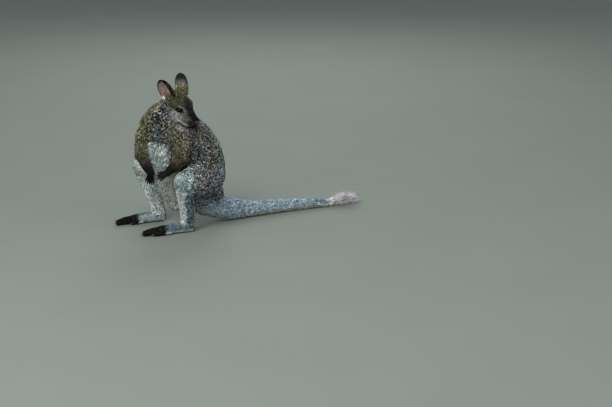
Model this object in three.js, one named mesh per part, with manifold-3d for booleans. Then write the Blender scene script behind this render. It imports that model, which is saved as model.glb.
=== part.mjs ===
// A red-necked wallaby, life size, standing at rest on its long hind feet and its tail, hands hanging
// in front of the belly and head turned back over its left shoulder. Millimetres, +Z up. The feet and
// the tail lie along Y, toes towards -Y; the animal's left is +X. The floor is the plane Z = 0.
//
// Every form is a tube: a smooth line through a few named stations, with an oval section at each. The
// parts are made whole and overlapping, then each is cut back from the parts named before it, so that
// they meet with a thin gap and never overlap. The outer surface is that of the coat.
import * as THREE from "three";
import { mergeVertices } from "three/addons/utils/BufferGeometryUtils.js";
import Module from "manifold-3d";

const wasm = await Module();
wasm.setup();

// ---------------------------------------------------------------------------- driving sizes and pose

const GAP = 0.3; // clearance between two parts that meet
const CENTRE = { x: 0.9, y: -255.6 }; // where the middle of the footprint lies, from between the heels

const TRUNK = {
  // The spine's line from rump to withers, the section's half width and half depth, and how far the
  // body has turned to its left there, in degrees.
  rump: { at: [0, 100, 138], wide: 70, deep: 62, turn: 15 },
  pelvis: { at: [2, 84, 195], wide: 92, deep: 96, turn: 17 },
  loin: { at: [8, 58, 265], wide: 102, deep: 108, turn: 25 },
  ribs: { at: [14, 18, 330], wide: 100, deep: 106, turn: 40 },
  chest: { at: [10, -42, 384], wide: 94, deep: 82, turn: 56 },
  withers: { at: [2, -66, 416], wide: 78, deep: 62, turn: 70 },
};

// The full front of the body, from the breast down between the thighs.
const BELLY = {
  breast: { at: [24, -86, 392], wide: 52, deep: 44, turn: 62 },
  brisket: { at: [31, -93, 330], wide: 52, deep: 48, turn: 54 },
  middle: { at: [24, -80, 262], wide: 58, deep: 52, turn: 38 },
  pouch: { at: [12, -48, 190], wide: 64, deep: 60, turn: 22 },
  groin: { at: [2, -14, 118], wide: 54, deep: 56, turn: 15 },
};

const NECK = {
  base: { at: [8, -68, 412], wide: 72, deep: 62, turn: 70 },
  middle: { at: [20, -62, 444], wide: 60, deep: 55, turn: 88 },
  nape: { at: [34, -52, 472], wide: 46, deep: 46, turn: 108 },
};

const HEAD = {
  nose: [132, 27, 429], // the tip of the muzzle
  turn: 124, // from straight ahead to the left
  pitch: 24, // nose below the level
  // Distance back from the nose, half width, height above the muzzle's line and depth below it.
  sections: [
    { back: 146, wide: 28, up: 32, down: 32 },
    { back: 130, wide: 41, up: 48, down: 48 },
    { back: 110, wide: 46, up: 60, down: 54 },
    { back: 90, wide: 44.5, up: 60, down: 54 },
    { back: 70, wide: 36, up: 48, down: 50 },
    { back: 50, wide: 26, up: 33, down: 44 },
    { back: 34, wide: 20, up: 23, down: 42 },
    { back: 22, wide: 17, up: 16, down: 37 },
  ],
  boxy: 2.8, // power of the section's outline, where 2 is an ellipse
};

const EYE = { radius: 12, back: 76, side: 30.5, up: 19.5 };
const NOSE = { wide: 12, tall: 9, deep: 7, back: 7, up: -2 };
const EAR = {
  root: { right: [122, 31.5, 39.5], left: [128, 32, 36] }, // back, outwards and up in the head
  length: 84,
  width: 26, // half width at the widest
  widest: 0.4, // where that is, as a share of the length
  blunt: 2.4, // power of the outline, where 2 is an ellipse
  wrapAtRoot: 130, // degrees that the sheet is bent to each side of its middle
  wrapAtTip: 55,
  setBack: 13, // the back of the cup from the axis
  sheet: 3, // thickness
  // Outwards and forwards, against one upwards.
  lean: { right: { out: 0.6, forward: -0.33 }, left: { out: 0.3, forward: -0.2 } },
  open: { right: { out: 0.8, forward: 0.6 }, left: { out: 1, forward: -0.45 } },
};

const TAIL = {
  // Along the middle of the tail from inside the rump to the last hair of the tip.
  stations: [
    { at: [2, 30, 122], wide: 54, deep: 50 },
    { at: [0, 92, 94], wide: 62, deep: 67 },
    { at: [-2, 154, 58], wide: 53, deep: 52 },
    { at: [-4, 212, 43], wide: 42, deep: 44.5 },
    { at: [-8, 270, 35], wide: 35, deep: 37 },
    { at: [-12, 340, 30], wide: 30, deep: 32 },
    { at: [-16, 430, 26], wide: 26.5, deep: 28 },
    { at: [-14, 540, 21], wide: 21, deep: 22.5 },
    { at: [-6, 630, 17], wide: 17, deep: 18.5 },
    { at: [2, 700, 20], wide: 17, deep: 22 },
    { at: [8, 742, 17], wide: 9, deep: 12 },
  ],
  partings: [300, 530], // where the tail is divided, along Y
};

// Sizes of the limbs, the same on both sides; the joints' places, which differ, follow.
const THIGH = [
  { wide: 52, deep: 66 },
  { wide: 50, deep: 74 },
  { wide: 44, deep: 56 },
  { wide: 36, deep: 40 },
];
const SHIN = [
  { wide: 33, deep: 37 },
  { wide: 27, deep: 37 },
  { wide: 20.5, deep: 32 },
  { wide: 18.5, deep: 30 },
];
const UPPER_ARM = [
  { wide: 47, deep: 52 },
  { wide: 35, deep: 40 },
  { wide: 28, deep: 31 },
];
const FOREARM = [
  { wide: 28, deep: 30 },
  { wide: 23, deep: 25 },
  { wide: 14.5, deep: 15.5 },
];
const FOOT = {
  // Along the sole from the heel: distance, offset to the outer side, height, half width, half height.
  metatarsus: [
    [18, 0, 19, 17, 20.5],
    [58, 0, 21, 18.5, 22.5],
    [104, 0, 19.5, 20, 21],
    [128, 1, 18, 17, 19.5],
  ],
  fourth: [
    [112, 2, 18, 13.5, 19.5],
    [158, 1, 16, 13, 17.5],
    [190, 0, 12, 11, 13],
  ],
  fifth: [
    [96, 13, 14, 9, 15],
    [138, 15, 11, 9, 12],
    [156, 14, 9, 7.5, 9.5],
  ],
  grooming: [
    [100, -14, 12, 7, 12.5],
    [128, -16, 8, 6.5, 8.5],
    [139, -16, 7, 5.5, 7],
  ],
};
// Where each toe's claw starts: distance along the sole, offset outwards, height. The second and third
// toes share one sheath, the grooming toe, with their two claws side by side on it.
const TOE_TIPS = {
  fourth: [194, 0, 10.5],
  fifth: [159, 14, 8],
  second: [142, -18.6, 7],
  third: [142, -13.4, 7],
};
const HAND = {
  // From the wrist: distance, half width, half thickness.
  palm: [
    [-4, 11, 10.5],
    [12, 13, 9],
    [20, 12, 7],
  ],
  knuckles: 18, // from the wrist to the middle finger's knuckle
  arch: 6, // how much nearer the outer fingers' knuckles are
  spread: 9, // from the middle finger's knuckle to the outer ones'
  finger: 21,
  fingers: [-1, -0.5, 0, 0.5, 1],
  splay: 0.32, // sideways part of the outer fingers' direction
  curl: 0.22, // how far the fingers point to the palm's side
};
const CLAW = {
  // length, root radius and droop of each kind
  fourth: { length: 15, radius: 4.8, droop: 5 },
  fifth: { length: 14, radius: 3.6, droop: 3 },
  second: { length: 9, radius: 2.0, droop: 2 },
  third: { length: 9, radius: 2.0, droop: 2 },
  finger: { length: 13, radius: 2.1, droop: 4 },
};

const SIDES = {
  left: {
    out: 1,
    thigh: [[54, 96, 186], [82, 58, 200], [107, 0, 208], [112, -26, 208]],
    shin: [[112, -30, 205], [102, -21, 140], [92, -10, 80], [87, -8, 42]],
    heel: [88.5, 17, 0],
    toe: [75, -191, 0],
    upperArm: [[52, -22, 392], [84, -28, 346], [97, -36, 290]],
    forearm: [[97, -38, 288], [105, -63, 266], [107, -88, 246]],
    hand: [[107, -90, 245], [91, -130, 227]],
    palm: [0.75, -0.3, 0.5],
  },
  right: {
    out: -1,
    thigh: [[-54, 60, 188], [-82, 8, 204], [-108, -70, 216], [-116, -112, 220]],
    shin: [[-116, -116, 214], [-106, -92, 145], [-99, -71, 82], [-95, -63, 42]],
    heel: [-92.5, -32, 0],
    toe: [-102, -240, 0],
    upperArm: [[-24, -108, 392], [0, -146, 356], [19, -160, 304]],
    forearm: [[20, -160, 302], [32, -149, 267], [42, -135, 234]],
    hand: [[42, -135, 232], [37, -141, 183]],
    palm: [0.8, -0.6, 0.1],
  },
};

// ---------------------------------------------------------------------------------- points and frames

const vector = (list) => new THREE.Vector3(...list);
const radians = THREE.MathUtils.degToRad;

// The level direction to the animal's left where its body is turned by that many degrees.
const leftOf = (turn) => new THREE.Vector3(Math.cos(radians(turn)), Math.sin(radians(turn)), 0);

// The head's own axes: forward along the muzzle, left and up.
function headAxes() {
  const turn = radians(HEAD.turn);
  const pitch = radians(HEAD.pitch);
  const forward = new THREE.Vector3(Math.sin(turn), -Math.cos(turn), 0)
    .multiplyScalar(Math.cos(pitch))
    .setZ(-Math.sin(pitch));
  const left = leftOf(HEAD.turn);
  const up = new THREE.Vector3().crossVectors(forward, left);
  return { forward, left, up };
}

const head = headAxes();

// A point in the head, from the nose: so far back, so far to the left and so far up.
const inHead = (back, left, up) =>
  vector(HEAD.nose)
    .addScaledVector(head.forward, -back)
    .addScaledVector(head.left, left)
    .addScaledVector(head.up, up);

// ------------------------------------------------------------------------------------------- the forms

// Vertices and triangles as one closed geometry.
function surface(points, triangles) {
  const geometry = new THREE.BufferGeometry();
  const places = points.flatMap((p) => p.toArray());
  geometry.setAttribute("position", new THREE.Float32BufferAttribute(places, 3));
  geometry.setIndex(triangles);
  geometry.computeVertexNormals();
  return geometry;
}

// The triangles between a stack of equal rings, each counter-clockwise about the way the stack runs.
function walls(rings) {
  const sides = rings[0].length;
  const corner = (i, j) => i * sides + (j % sides);
  const triangles = [];
  for (let i = 0; i + 1 < rings.length; i++) {
    for (let j = 0; j < sides; j++) {
      const [a, b, c, d] = [corner(i, j), corner(i, j + 1), corner(i + 1, j + 1), corner(i + 1, j)];
      triangles.push(a, b, c, a, c, d);
    }
  }
  return triangles;
}

// Joins a stack of rings and closes both ends on a pole.
function stacked(rings, firstPole, lastPole) {
  const points = [...rings.flat(), firstPole, lastPole];
  const sides = rings[0].length;
  const top = (rings.length - 1) * sides;
  const triangles = walls(rings);
  for (let j = 0; j < sides; j++) {
    const next = (j + 1) % sides;
    triangles.push(points.length - 2, next, j, points.length - 1, top + j, top + next);
  }
  return surface(points, triangles);
}

// Joins a stack of rings that each run out along one face of a bent sheet and back along the other. A
// strip between the two faces closes each end.
function bentSheet(rings) {
  const sides = rings[0].length;
  const top = (rings.length - 1) * sides;
  const triangles = walls(rings);
  for (let j = 0; j + 1 < sides / 2; j++) {
    const [a, b, c, d] = [j, j + 1, sides - 2 - j, sides - 1 - j];
    triangles.push(a, c, b, a, d, c);
    triangles.push(top + a, top + b, top + c, top + a, top + c, top + d);
  }
  return surface(rings.flat(), triangles);
}

// A closed tube along a smooth line through the stations. A station has its place (at), half width
// (wide, along its side direction), and half depth (deep) or separate heights up and down. Each end
// is rounded off as half an ellipsoid.
function tube(stations, { rings, sides, grow = 0, capSteps = [60, 30], boxy = 2 }) {
  const smooth = (pick) => new THREE.CatmullRomCurve3(stations.map(pick), false, "catmullrom", 0.5);
  const line = smooth((s) => (Array.isArray(s.at) ? vector(s.at) : s.at));
  const girth = smooth((s) => new THREE.Vector3(s.wide, s.up ?? s.deep, s.down ?? s.deep));
  const lateral = smooth((s) => s.side);

  const ring = (t, overhang) => {
    const along = line.getTangent(t);
    const side = lateral.getPoint(t).projectOnPlane(along).normalize();
    const up = new THREE.Vector3().crossVectors(along, side);
    const size = girth.getPoint(t).addScalar(grow);
    const shrink = Math.cos(overhang);
    const reach = Math.sin(overhang) * (size.x / 2 + (size.y + size.z) / 4);
    const centre = line.getPoint(t).addScaledVector(along, reach);
    return Array.from({ length: sides }, (_, j) => {
      const angle = (2 * Math.PI * j) / sides;
      const [x, y] = [Math.cos(angle), Math.sin(angle)];
      const swell = (Math.abs(x) ** boxy + Math.abs(y) ** boxy) ** (-1 / boxy) * shrink;
      return centre
        .clone()
        .addScaledVector(side, x * size.x * swell)
        .addScaledVector(up, y * (y > 0 ? size.y : size.z) * swell);
    });
  };
  const pole = (t, sign) => {
    const size = girth.getPoint(t).addScalar(grow);
    const reach = sign * (size.x / 2 + (size.y + size.z) / 4);
    return line.getPoint(t).addScaledVector(line.getTangent(t), reach);
  };

  const stack = [
    ...capSteps.map((angle) => ring(0, -radians(angle))),
    ...Array.from({ length: rings }, (_, i) => ring(i / (rings - 1), 0)),
    ...capSteps.toReversed().map((angle) => ring(1, radians(angle))),
  ];
  return stacked(stack, pole(0, -1), pole(1, 1));
}

// The cup of an ear: a sheet bent round the ear's axis, nearly closed at the root, widest at two fifths
// of its length and closing to a rounded tip. The back of the cup runs straight along the axis. The
// outer and the inner face are joined round the rim.
function earCup(side, grow = 0) {
  const rows = 8;
  const columns = 8;
  const [back, outwards, up] = EAR.root[side];
  const root = inHead(back, outwards * SIDES[side].out, up);
  const level = head.forward.clone().setZ(0).normalize();
  const way = ({ out, forward }, up) =>
    new THREE.Vector3(0, 0, up)
      .addScaledVector(level, forward)
      .addScaledVector(head.left, out * SIDES[side].out);
  const axis = way(EAR.lean[side], 1).normalize();
  const open = way(EAR.open[side], 0).projectOnPlane(axis).normalize();
  const across = new THREE.Vector3().crossVectors(open, axis);
  const sheet = EAR.sheet + 2 * grow;

  const face = (inset) =>
    Array.from({ length: rows }, (_, i) => {
      const t = (0.985 * i) / (rows - 1);
      const fromWidest = Math.abs((t - EAR.widest) / (1 - EAR.widest));
      const halfWidth = EAR.width * (1 - fromWidest ** EAR.blunt) ** (1 / EAR.blunt);
      const unwound = Math.min(1, 1.4 * t);
      const wrap = radians(THREE.MathUtils.lerp(EAR.wrapAtRoot, EAR.wrapAtTip, unwound));
      const radius = halfWidth / Math.sin(Math.min(wrap, Math.PI / 2)) + grow;
      return Array.from({ length: columns }, (_, j) => {
        const angle = ((2 * j) / (columns - 1) - 1) * wrap;
        return root
          .clone()
          .addScaledVector(axis, t * EAR.length + grow * (2 * t - 1))
          .addScaledVector(open, radius - EAR.setBack - (radius - inset) * Math.cos(angle))
          .addScaledVector(across, (radius - inset) * Math.sin(angle));
      });
    });
  const outer = face(0);
  const inner = face(sheet);
  // Each row is one closed ring: out along the outer face and back along the inner one.
  return bentSheet(outer.map((row, i) => [...row, ...inner[i].reverse()]));
}

// A claw: a round horn that tapers to a point and droops.
function claw(root, direction, { length, radius, droop }, grow = 0) {
  const along = direction.clone().normalize();
  const side = new THREE.Vector3(along.y, -along.x, 0).normalize();
  const place = (share, fall) =>
    root.clone().addScaledVector(along, length * share).add(new THREE.Vector3(0, 0, -droop * fall));
  const stations = [
    { at: place(-0.3, 0), wide: radius * 0.9, deep: radius, side },
    { at: place(0.3, 0.1), wide: radius * 0.7, deep: radius * 0.85, side },
    { at: place(0.7, 0.45), wide: radius * 0.42, deep: radius * 0.5, side },
    { at: place(1, 1), wide: 0.5, deep: 0.5, side },
  ];
  return tube(stations, { rings: 3, sides: 5, grow, capSteps: [] });
}

// ------------------------------------------------------------------------------------- parts of the body

const turned = (stations) => stations.map((s) => ({ ...s, side: leftOf(s.turn) }));
const limb = (places, sizes, side) => sizes.map((size, i) => ({ at: places[i], ...size, side }));

const trunkForm = (grow) => tube(turned(Object.values(TRUNK)), { rings: 10, sides: 18, grow });
const bellyForm = (grow) => tube(turned(Object.values(BELLY)), { rings: 7, sides: 12, grow });
const neckForm = (grow) => tube(turned(Object.values(NECK)), { rings: 4, sides: 16, grow });

function headForm(grow) {
  const side = head.left;
  const stations = HEAD.sections.map(({ back, ...size }) => ({ at: inHead(back, 0, 0), ...size, side }));
  return tube(stations, { rings: 11, sides: 16, grow, boxy: HEAD.boxy });
}

function noseForm(grow) {
  const ball = new THREE.SphereGeometry(1, 10, 6);
  ball.scale(NOSE.wide + grow, NOSE.deep + grow, NOSE.tall + grow);
  const turn = new THREE.Matrix4().makeBasis(head.left, head.forward.clone().negate(), head.up);
  return ball.applyMatrix4(turn.setPosition(inHead(NOSE.back, 0, NOSE.up)));
}

function eyeForm(side, grow) {
  const ball = new THREE.SphereGeometry(EYE.radius + grow, 12, 7);
  return ball.applyMatrix4(
    new THREE.Matrix4().setPosition(inHead(EYE.back, EYE.side * SIDES[side].out, EYE.up)),
  );
}

// The tail's side direction points to the animal's right, so that the section's top is up.
const tailForm = (grow) =>
  tube(TAIL.stations.map((s) => ({ ...s, side: leftOf(180) })), { rings: 16, sides: 12, grow });

const thighForm = (side, grow) =>
  tube(limb(SIDES[side].thigh, THIGH, leftOf(TRUNK.pelvis.turn)), { rings: 5, sides: 14, grow });
const shinForm = (side, grow) =>
  tube(limb(SIDES[side].shin, SHIN, leftOf(0)), { rings: 5, sides: 12, grow, capSteps: [45] });
const upperArmForm = (side, grow) =>
  tube(limb(SIDES[side].upperArm, UPPER_ARM, leftOf(50)), { rings: 5, sides: 12, grow });
const forearmForm = (side, grow) =>
  tube(limb(SIDES[side].forearm, FOREARM, leftOf(50)), { rings: 4, sides: 10, grow, capSteps: [45] });

// The foot's own axes: forward along the sole, and out to the side.
function footAxes(side) {
  const heel = vector(SIDES[side].heel);
  const forward = vector(SIDES[side].toe).sub(heel).normalize();
  const out = new THREE.Vector3(-forward.y, forward.x, 0).multiplyScalar(SIDES[side].out);
  return { heel, forward, out };
}

function onFoot(side, distance, outward, height) {
  const { heel, forward, out } = footAxes(side);
  return heel.addScaledVector(forward, distance).addScaledVector(out, outward).setZ(height);
}

function footForms(side, grow) {
  const upright = new THREE.Vector3(0, 0, 1);
  const across = new THREE.Vector3().crossVectors(footAxes(side).forward, upright);
  const along = (rows) =>
    rows.map(([distance, outward, height, wide, deep]) => ({
      at: onFoot(side, distance, outward, height),
      wide,
      deep,
      side: across,
    }));
  return [
    tube(along(FOOT.metatarsus), { rings: 5, sides: 10, grow, capSteps: [45] }),
    tube(along(FOOT.fourth), { rings: 3, sides: 8, grow, capSteps: [45] }),
    tube(along(FOOT.fifth), { rings: 3, sides: 8, grow, capSteps: [45] }),
    tube(along(FOOT.grooming), { rings: 3, sides: 8, grow, capSteps: [45] }),
  ];
}

// The hand's own axes: from the wrist towards the fingertips, across the palm and out of its back.
function handAxes(side) {
  const [wrist, tip] = SIDES[side].hand.map(vector);
  const reach = tip.sub(wrist).normalize();
  const back = vector(SIDES[side].palm).projectOnPlane(reach).normalize();
  const across = new THREE.Vector3().crossVectors(reach, back);
  return { wrist, reach, back, across };
}

// Where a finger runs: its knuckle, and the way that it points, which spreads and curls a little.
function fingerLine(side, spread) {
  const { wrist, reach, back, across } = handAxes(side);
  const start = HAND.knuckles - HAND.arch * spread ** 2;
  const knuckle = wrist.addScaledVector(reach, start).addScaledVector(across, HAND.spread * spread);
  const way = reach.clone().addScaledVector(across, HAND.splay * spread).addScaledVector(back, -HAND.curl);
  way.normalize();
  return { knuckle, way, across };
}

function handForms(side, grow) {
  const { wrist, reach, across } = handAxes(side);
  const palm = HAND.palm.map(([distance, wide, deep]) => ({
    at: wrist.clone().addScaledVector(reach, distance),
    wide,
    deep,
    side: across,
  }));
  const fingers = HAND.fingers.map((spread) => {
    const { knuckle, way } = fingerLine(side, spread);
    const fingerAt = (distance) => knuckle.clone().addScaledVector(way, distance);
    return [
      { at: fingerAt(0), wide: 4.4, deep: 4.8, side: across },
      { at: fingerAt(HAND.finger), wide: 3.5, deep: 3.6, side: across },
    ];
  });
  return [
    tube(palm, { rings: 3, sides: 8, grow, capSteps: [45] }),
    ...fingers.map((line) => tube(line, { rings: 2, sides: 5, grow, capSteps: [45] })),
  ];
}

// The claws of one side as [name, form] pairs: four on the foot and five on the hand.
function clawForms(side) {
  const { forward } = footAxes(side);
  const made = Object.entries(TOE_TIPS).map(([toe, place]) => {
    const root = onFoot(side, ...place);
    return [`claw_${toe}_toe_${side}`, (grow) => claw(root, forward, CLAW[toe], grow)];
  });
  HAND.fingers.forEach((spread, i) => {
    const { knuckle, way } = fingerLine(side, spread);
    const root = knuckle.addScaledVector(way, HAND.finger + 2);
    made.push([`claw_finger_${i + 1}_${side}`, (grow) => claw(root, way, CLAW.finger, grow)]);
  });
  return made;
}

// --------------------------------------------------------------------------------------- solids and cuts

function solid(geometry) {
  const bare = geometry.clone();
  bare.deleteAttribute("normal");
  bare.deleteAttribute("uv");
  const merged = mergeVertices(bare, 1e-4);
  return new wasm.Manifold(
    new wasm.Mesh({
      numProp: 3,
      vertProperties: merged.attributes.position.array,
      triVerts: new Uint32Array(merged.index.array),
    }),
  );
}

const joined = (forms) => forms.map(solid).reduce((whole, next) => whole.add(next));
const largest = (body) => body.decompose().reduce((a, b) => (a.volume() > b.volume() ? a : b));

const box = (width, depth, height, middle) => {
  const block = new THREE.BoxGeometry(width, depth, height);
  return solid(block.applyMatrix4(new THREE.Matrix4().setPosition(middle)));
};
const underFloor = box(2000, 3000, 400, new THREE.Vector3(0, 0, -200));

function backToGeometry(body) {
  const { numProp, vertProperties, triVerts } = body.getMesh();
  const geometry = new THREE.BufferGeometry();
  const places = new THREE.InterleavedBuffer(vertProperties, numProp);
  geometry.setAttribute("position", new THREE.InterleavedBufferAttribute(places, 3, 0));
  geometry.setIndex(new THREE.BufferAttribute(triVerts, 1));
  const plain = geometry.toNonIndexed();
  plain.computeVertexNormals();
  return plain;
}

// The parts in the order in which they take their space. Each is [name, finish, forms(grow)].
function bodyParts() {
  const both = (make) => Object.keys(SIDES).flatMap(make);
  return [
    ...both((side) => [[`eye_${side}`, "eye", (grow) => [eyeForm(side, grow)]]]),
    ["nose", "noseLeather", (grow) => [noseForm(grow)]],
    ["head", "faceFur", (grow) => [headForm(grow)]],
    ...both((side) => [[`ear_${side}`, "earFur", (grow) => [earCup(side, grow)]]]),
    ["trunk", "bodyFur", (grow) => [trunkForm(grow), bellyForm(grow)]],
    ["neck", "neckFur", (grow) => [neckForm(grow)]],
    ...both((side) => [
      [`upper_arm_${side}`, "neckFur", (grow) => [upperArmForm(side, grow)]],
      [`forearm_${side}`, "neckFur", (grow) => [forearmForm(side, grow)]],
      [`hand_${side}`, "blackFur", (grow) => handForms(side, grow)],
      [`thigh_${side}`, "bodyFur", (grow) => [thighForm(side, grow)]],
      [`foot_${side}`, "footFur", (grow) => footForms(side, grow)],
      [`shin_${side}`, "footFur", (grow) => [shinForm(side, grow)]],
      ...clawForms(side).map(([name, form]) => [name, "horn", (grow) => [form(grow)]]),
    ]),
    ["tail", "tailFur", (grow) => [tailForm(grow)]],
  ];
}

// Cuts each part back from all the parts before it, and from the floor.
function parted(parts) {
  const taken = [underFloor];
  return parts.map(([name, finish, forms]) => {
    const body = largest(taken.reduce((rest, other) => rest.subtract(other), joined(forms(0))));
    taken.push(joined(forms(GAP)));
    return [name, finish, body];
  });
}

// The tail in three lengths, divided by thin upright cuts across it.
function dividedTail(tail) {
  const cuts = TAIL.partings.map((y) => box(200, GAP, 400, new THREE.Vector3(0, y, 0)));
  const lengths = cuts.reduce((rest, cut) => rest.subtract(cut), tail).decompose();
  const middle = (body) => body.boundingBox().min[1];
  lengths.sort((a, b) => middle(a) - middle(b));
  return ["root", "middle", "tip"].map((name, i) => [`tail_${name}`, "tailFur", lengths[i]]);
}

// ------------------------------------------------------------------------------------------- finishes

const finish = (color, roughness) => new THREE.MeshStandardMaterial({ color, roughness, metalness: 0 });
const finishes = {
  bodyFur: finish(0x6d6860, 0.95),
  neckFur: finish(0x6b6450, 0.95),
  faceFur: finish(0x4c483c, 0.9),
  earFur: finish(0x3b3936, 0.9),
  footFur: finish(0x7d8484, 0.95),
  blackFur: finish(0x1c1b1b, 0.9),
  tailFur: finish(0x7f8c92, 0.95),
  noseLeather: finish(0x141416, 0.45),
  horn: finish(0x1f1d1c, 0.5),
  eye: finish(0x120c08, 0.08),
};

// ------------------------------------------------------------------------------------------ the animal

const wallaby = new THREE.Group();
wallaby.position.set(CENTRE.x, CENTRE.y, 0);
const pieces = parted(bodyParts()).flatMap((part) => (part[0] === "tail" ? dividedTail(part[2]) : [part]));
for (const [name, surfaceFinish, body] of pieces) {
  const mesh = new THREE.Mesh(backToGeometry(body), finishes[surfaceFinish]);
  mesh.name = name;
  wallaby.add(mesh);
}

export default wallaby;
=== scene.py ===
"""A red-necked wallaby, life size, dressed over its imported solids.

The skin is one mesh of closed surfaces: the body's, round a set of tubes that are its parts less the
depth of the coat, and those of the hands and ears, whose roots lie inside it. Tufts of hair stand on
the skin and lie along the body. Sizes are in millimetres, as in the solids' source, until a mesh is
made, which is in metres; the floor, lights and camera are in metres too."""

import math

import bpy
import numpy as np
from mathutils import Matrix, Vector


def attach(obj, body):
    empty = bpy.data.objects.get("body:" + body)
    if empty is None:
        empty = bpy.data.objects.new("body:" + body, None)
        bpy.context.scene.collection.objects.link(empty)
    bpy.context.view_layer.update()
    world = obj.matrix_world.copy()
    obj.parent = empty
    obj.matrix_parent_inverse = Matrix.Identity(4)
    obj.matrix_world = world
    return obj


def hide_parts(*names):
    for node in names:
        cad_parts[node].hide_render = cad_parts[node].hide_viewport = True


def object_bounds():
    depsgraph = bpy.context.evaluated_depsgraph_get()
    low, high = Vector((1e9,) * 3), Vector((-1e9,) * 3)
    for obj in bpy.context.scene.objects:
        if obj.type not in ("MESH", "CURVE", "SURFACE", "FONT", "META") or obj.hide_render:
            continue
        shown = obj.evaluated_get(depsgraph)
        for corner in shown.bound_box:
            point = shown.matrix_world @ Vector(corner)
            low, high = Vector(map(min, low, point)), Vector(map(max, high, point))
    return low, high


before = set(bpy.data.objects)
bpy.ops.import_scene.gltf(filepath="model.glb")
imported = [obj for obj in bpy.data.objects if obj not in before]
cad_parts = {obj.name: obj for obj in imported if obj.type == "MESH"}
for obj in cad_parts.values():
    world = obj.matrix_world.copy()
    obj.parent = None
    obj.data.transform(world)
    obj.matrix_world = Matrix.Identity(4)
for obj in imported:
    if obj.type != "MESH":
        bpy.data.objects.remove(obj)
solid_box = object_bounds()

MM = 0.001
SIDES = {"left": 1, "right": -1}


# ------------------------------------------------------------------------------------------- small sums
def unit(rows):
    """Each row divided by its length."""
    return rows / np.maximum(np.linalg.norm(rows, axis=-1, keepdims=True), 1e-9)


def dot(a, b):
    """Row by row products, summed."""
    return (a * b).sum(-1)


def ramp(value, start, end):
    """0 before start, 1 after end, and a smooth S between them."""
    t = np.clip((value - start) / (end - start), 0, 1)
    return t * t * (3 - 2 * t)


def bell(value, width):
    """A bell curve: 1 at zero, falling off over the width."""
    return np.exp(-((value / width) ** 2))


def mixed(a, b, share):
    """Rows of a turned into rows of b by a share for each row."""
    return a + (b - a) * share[:, None]


def paint(red, green, blue):
    """A display colour of 0 to 255 as a linear colour."""
    value = np.array([red, green, blue]) / 255
    return np.where(value < 0.04045, value / 12.92, ((value + 0.055) / 1.055) ** 2.4)


WAVES = 5  # plane waves in a ripple
WAVES_SUM = 2.6  # what so many waves seldom add up to


def ripple(points, size, seed):
    """Smooth noise of about -1 to 1: a sum of plane waves of several lengths near the size given."""
    waves = np.random.default_rng(seed)
    total = np.zeros(len(points))
    for _ in range(WAVES):
        way = unit(waves.normal(size=3)) * 2 * math.pi / (size * waves.uniform(0.6, 1.7))
        total += np.sin(points @ way + waves.uniform(0, 6.3))
    return total / WAVES_SUM


# -------------------------------------------------------------------------------------- the body's lines
CENTRE = np.array([0.9, -255.6, 0.0])  # from between the heels to the middle of the footprint
SAMPLES = 72  # points along each line


def catmull_rom(rows, count):
    """A uniform Catmull-Rom curve through the rows, at equal steps of its parameter."""
    rows = np.vstack([2 * rows[:1] - rows[1:2], rows, 2 * rows[-1:] - rows[-2:-1]])
    place = np.linspace(0, len(rows) - 3, count)
    i = np.minimum(place.astype(int), len(rows) - 4)
    t = (place - i)[:, None]
    a, b, c, d = rows[i], rows[i + 1], rows[i + 2], rows[i + 3]
    return b + 0.5 * t * (c - a + t * (2 * a - 5 * b + 4 * c - d + t * (3 * (b - c) + d - a)))


BOX_MARGIN = 45  # a tube's distances are worked out this far round it
FAR = 60.0  # the distance given to points beyond that


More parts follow.
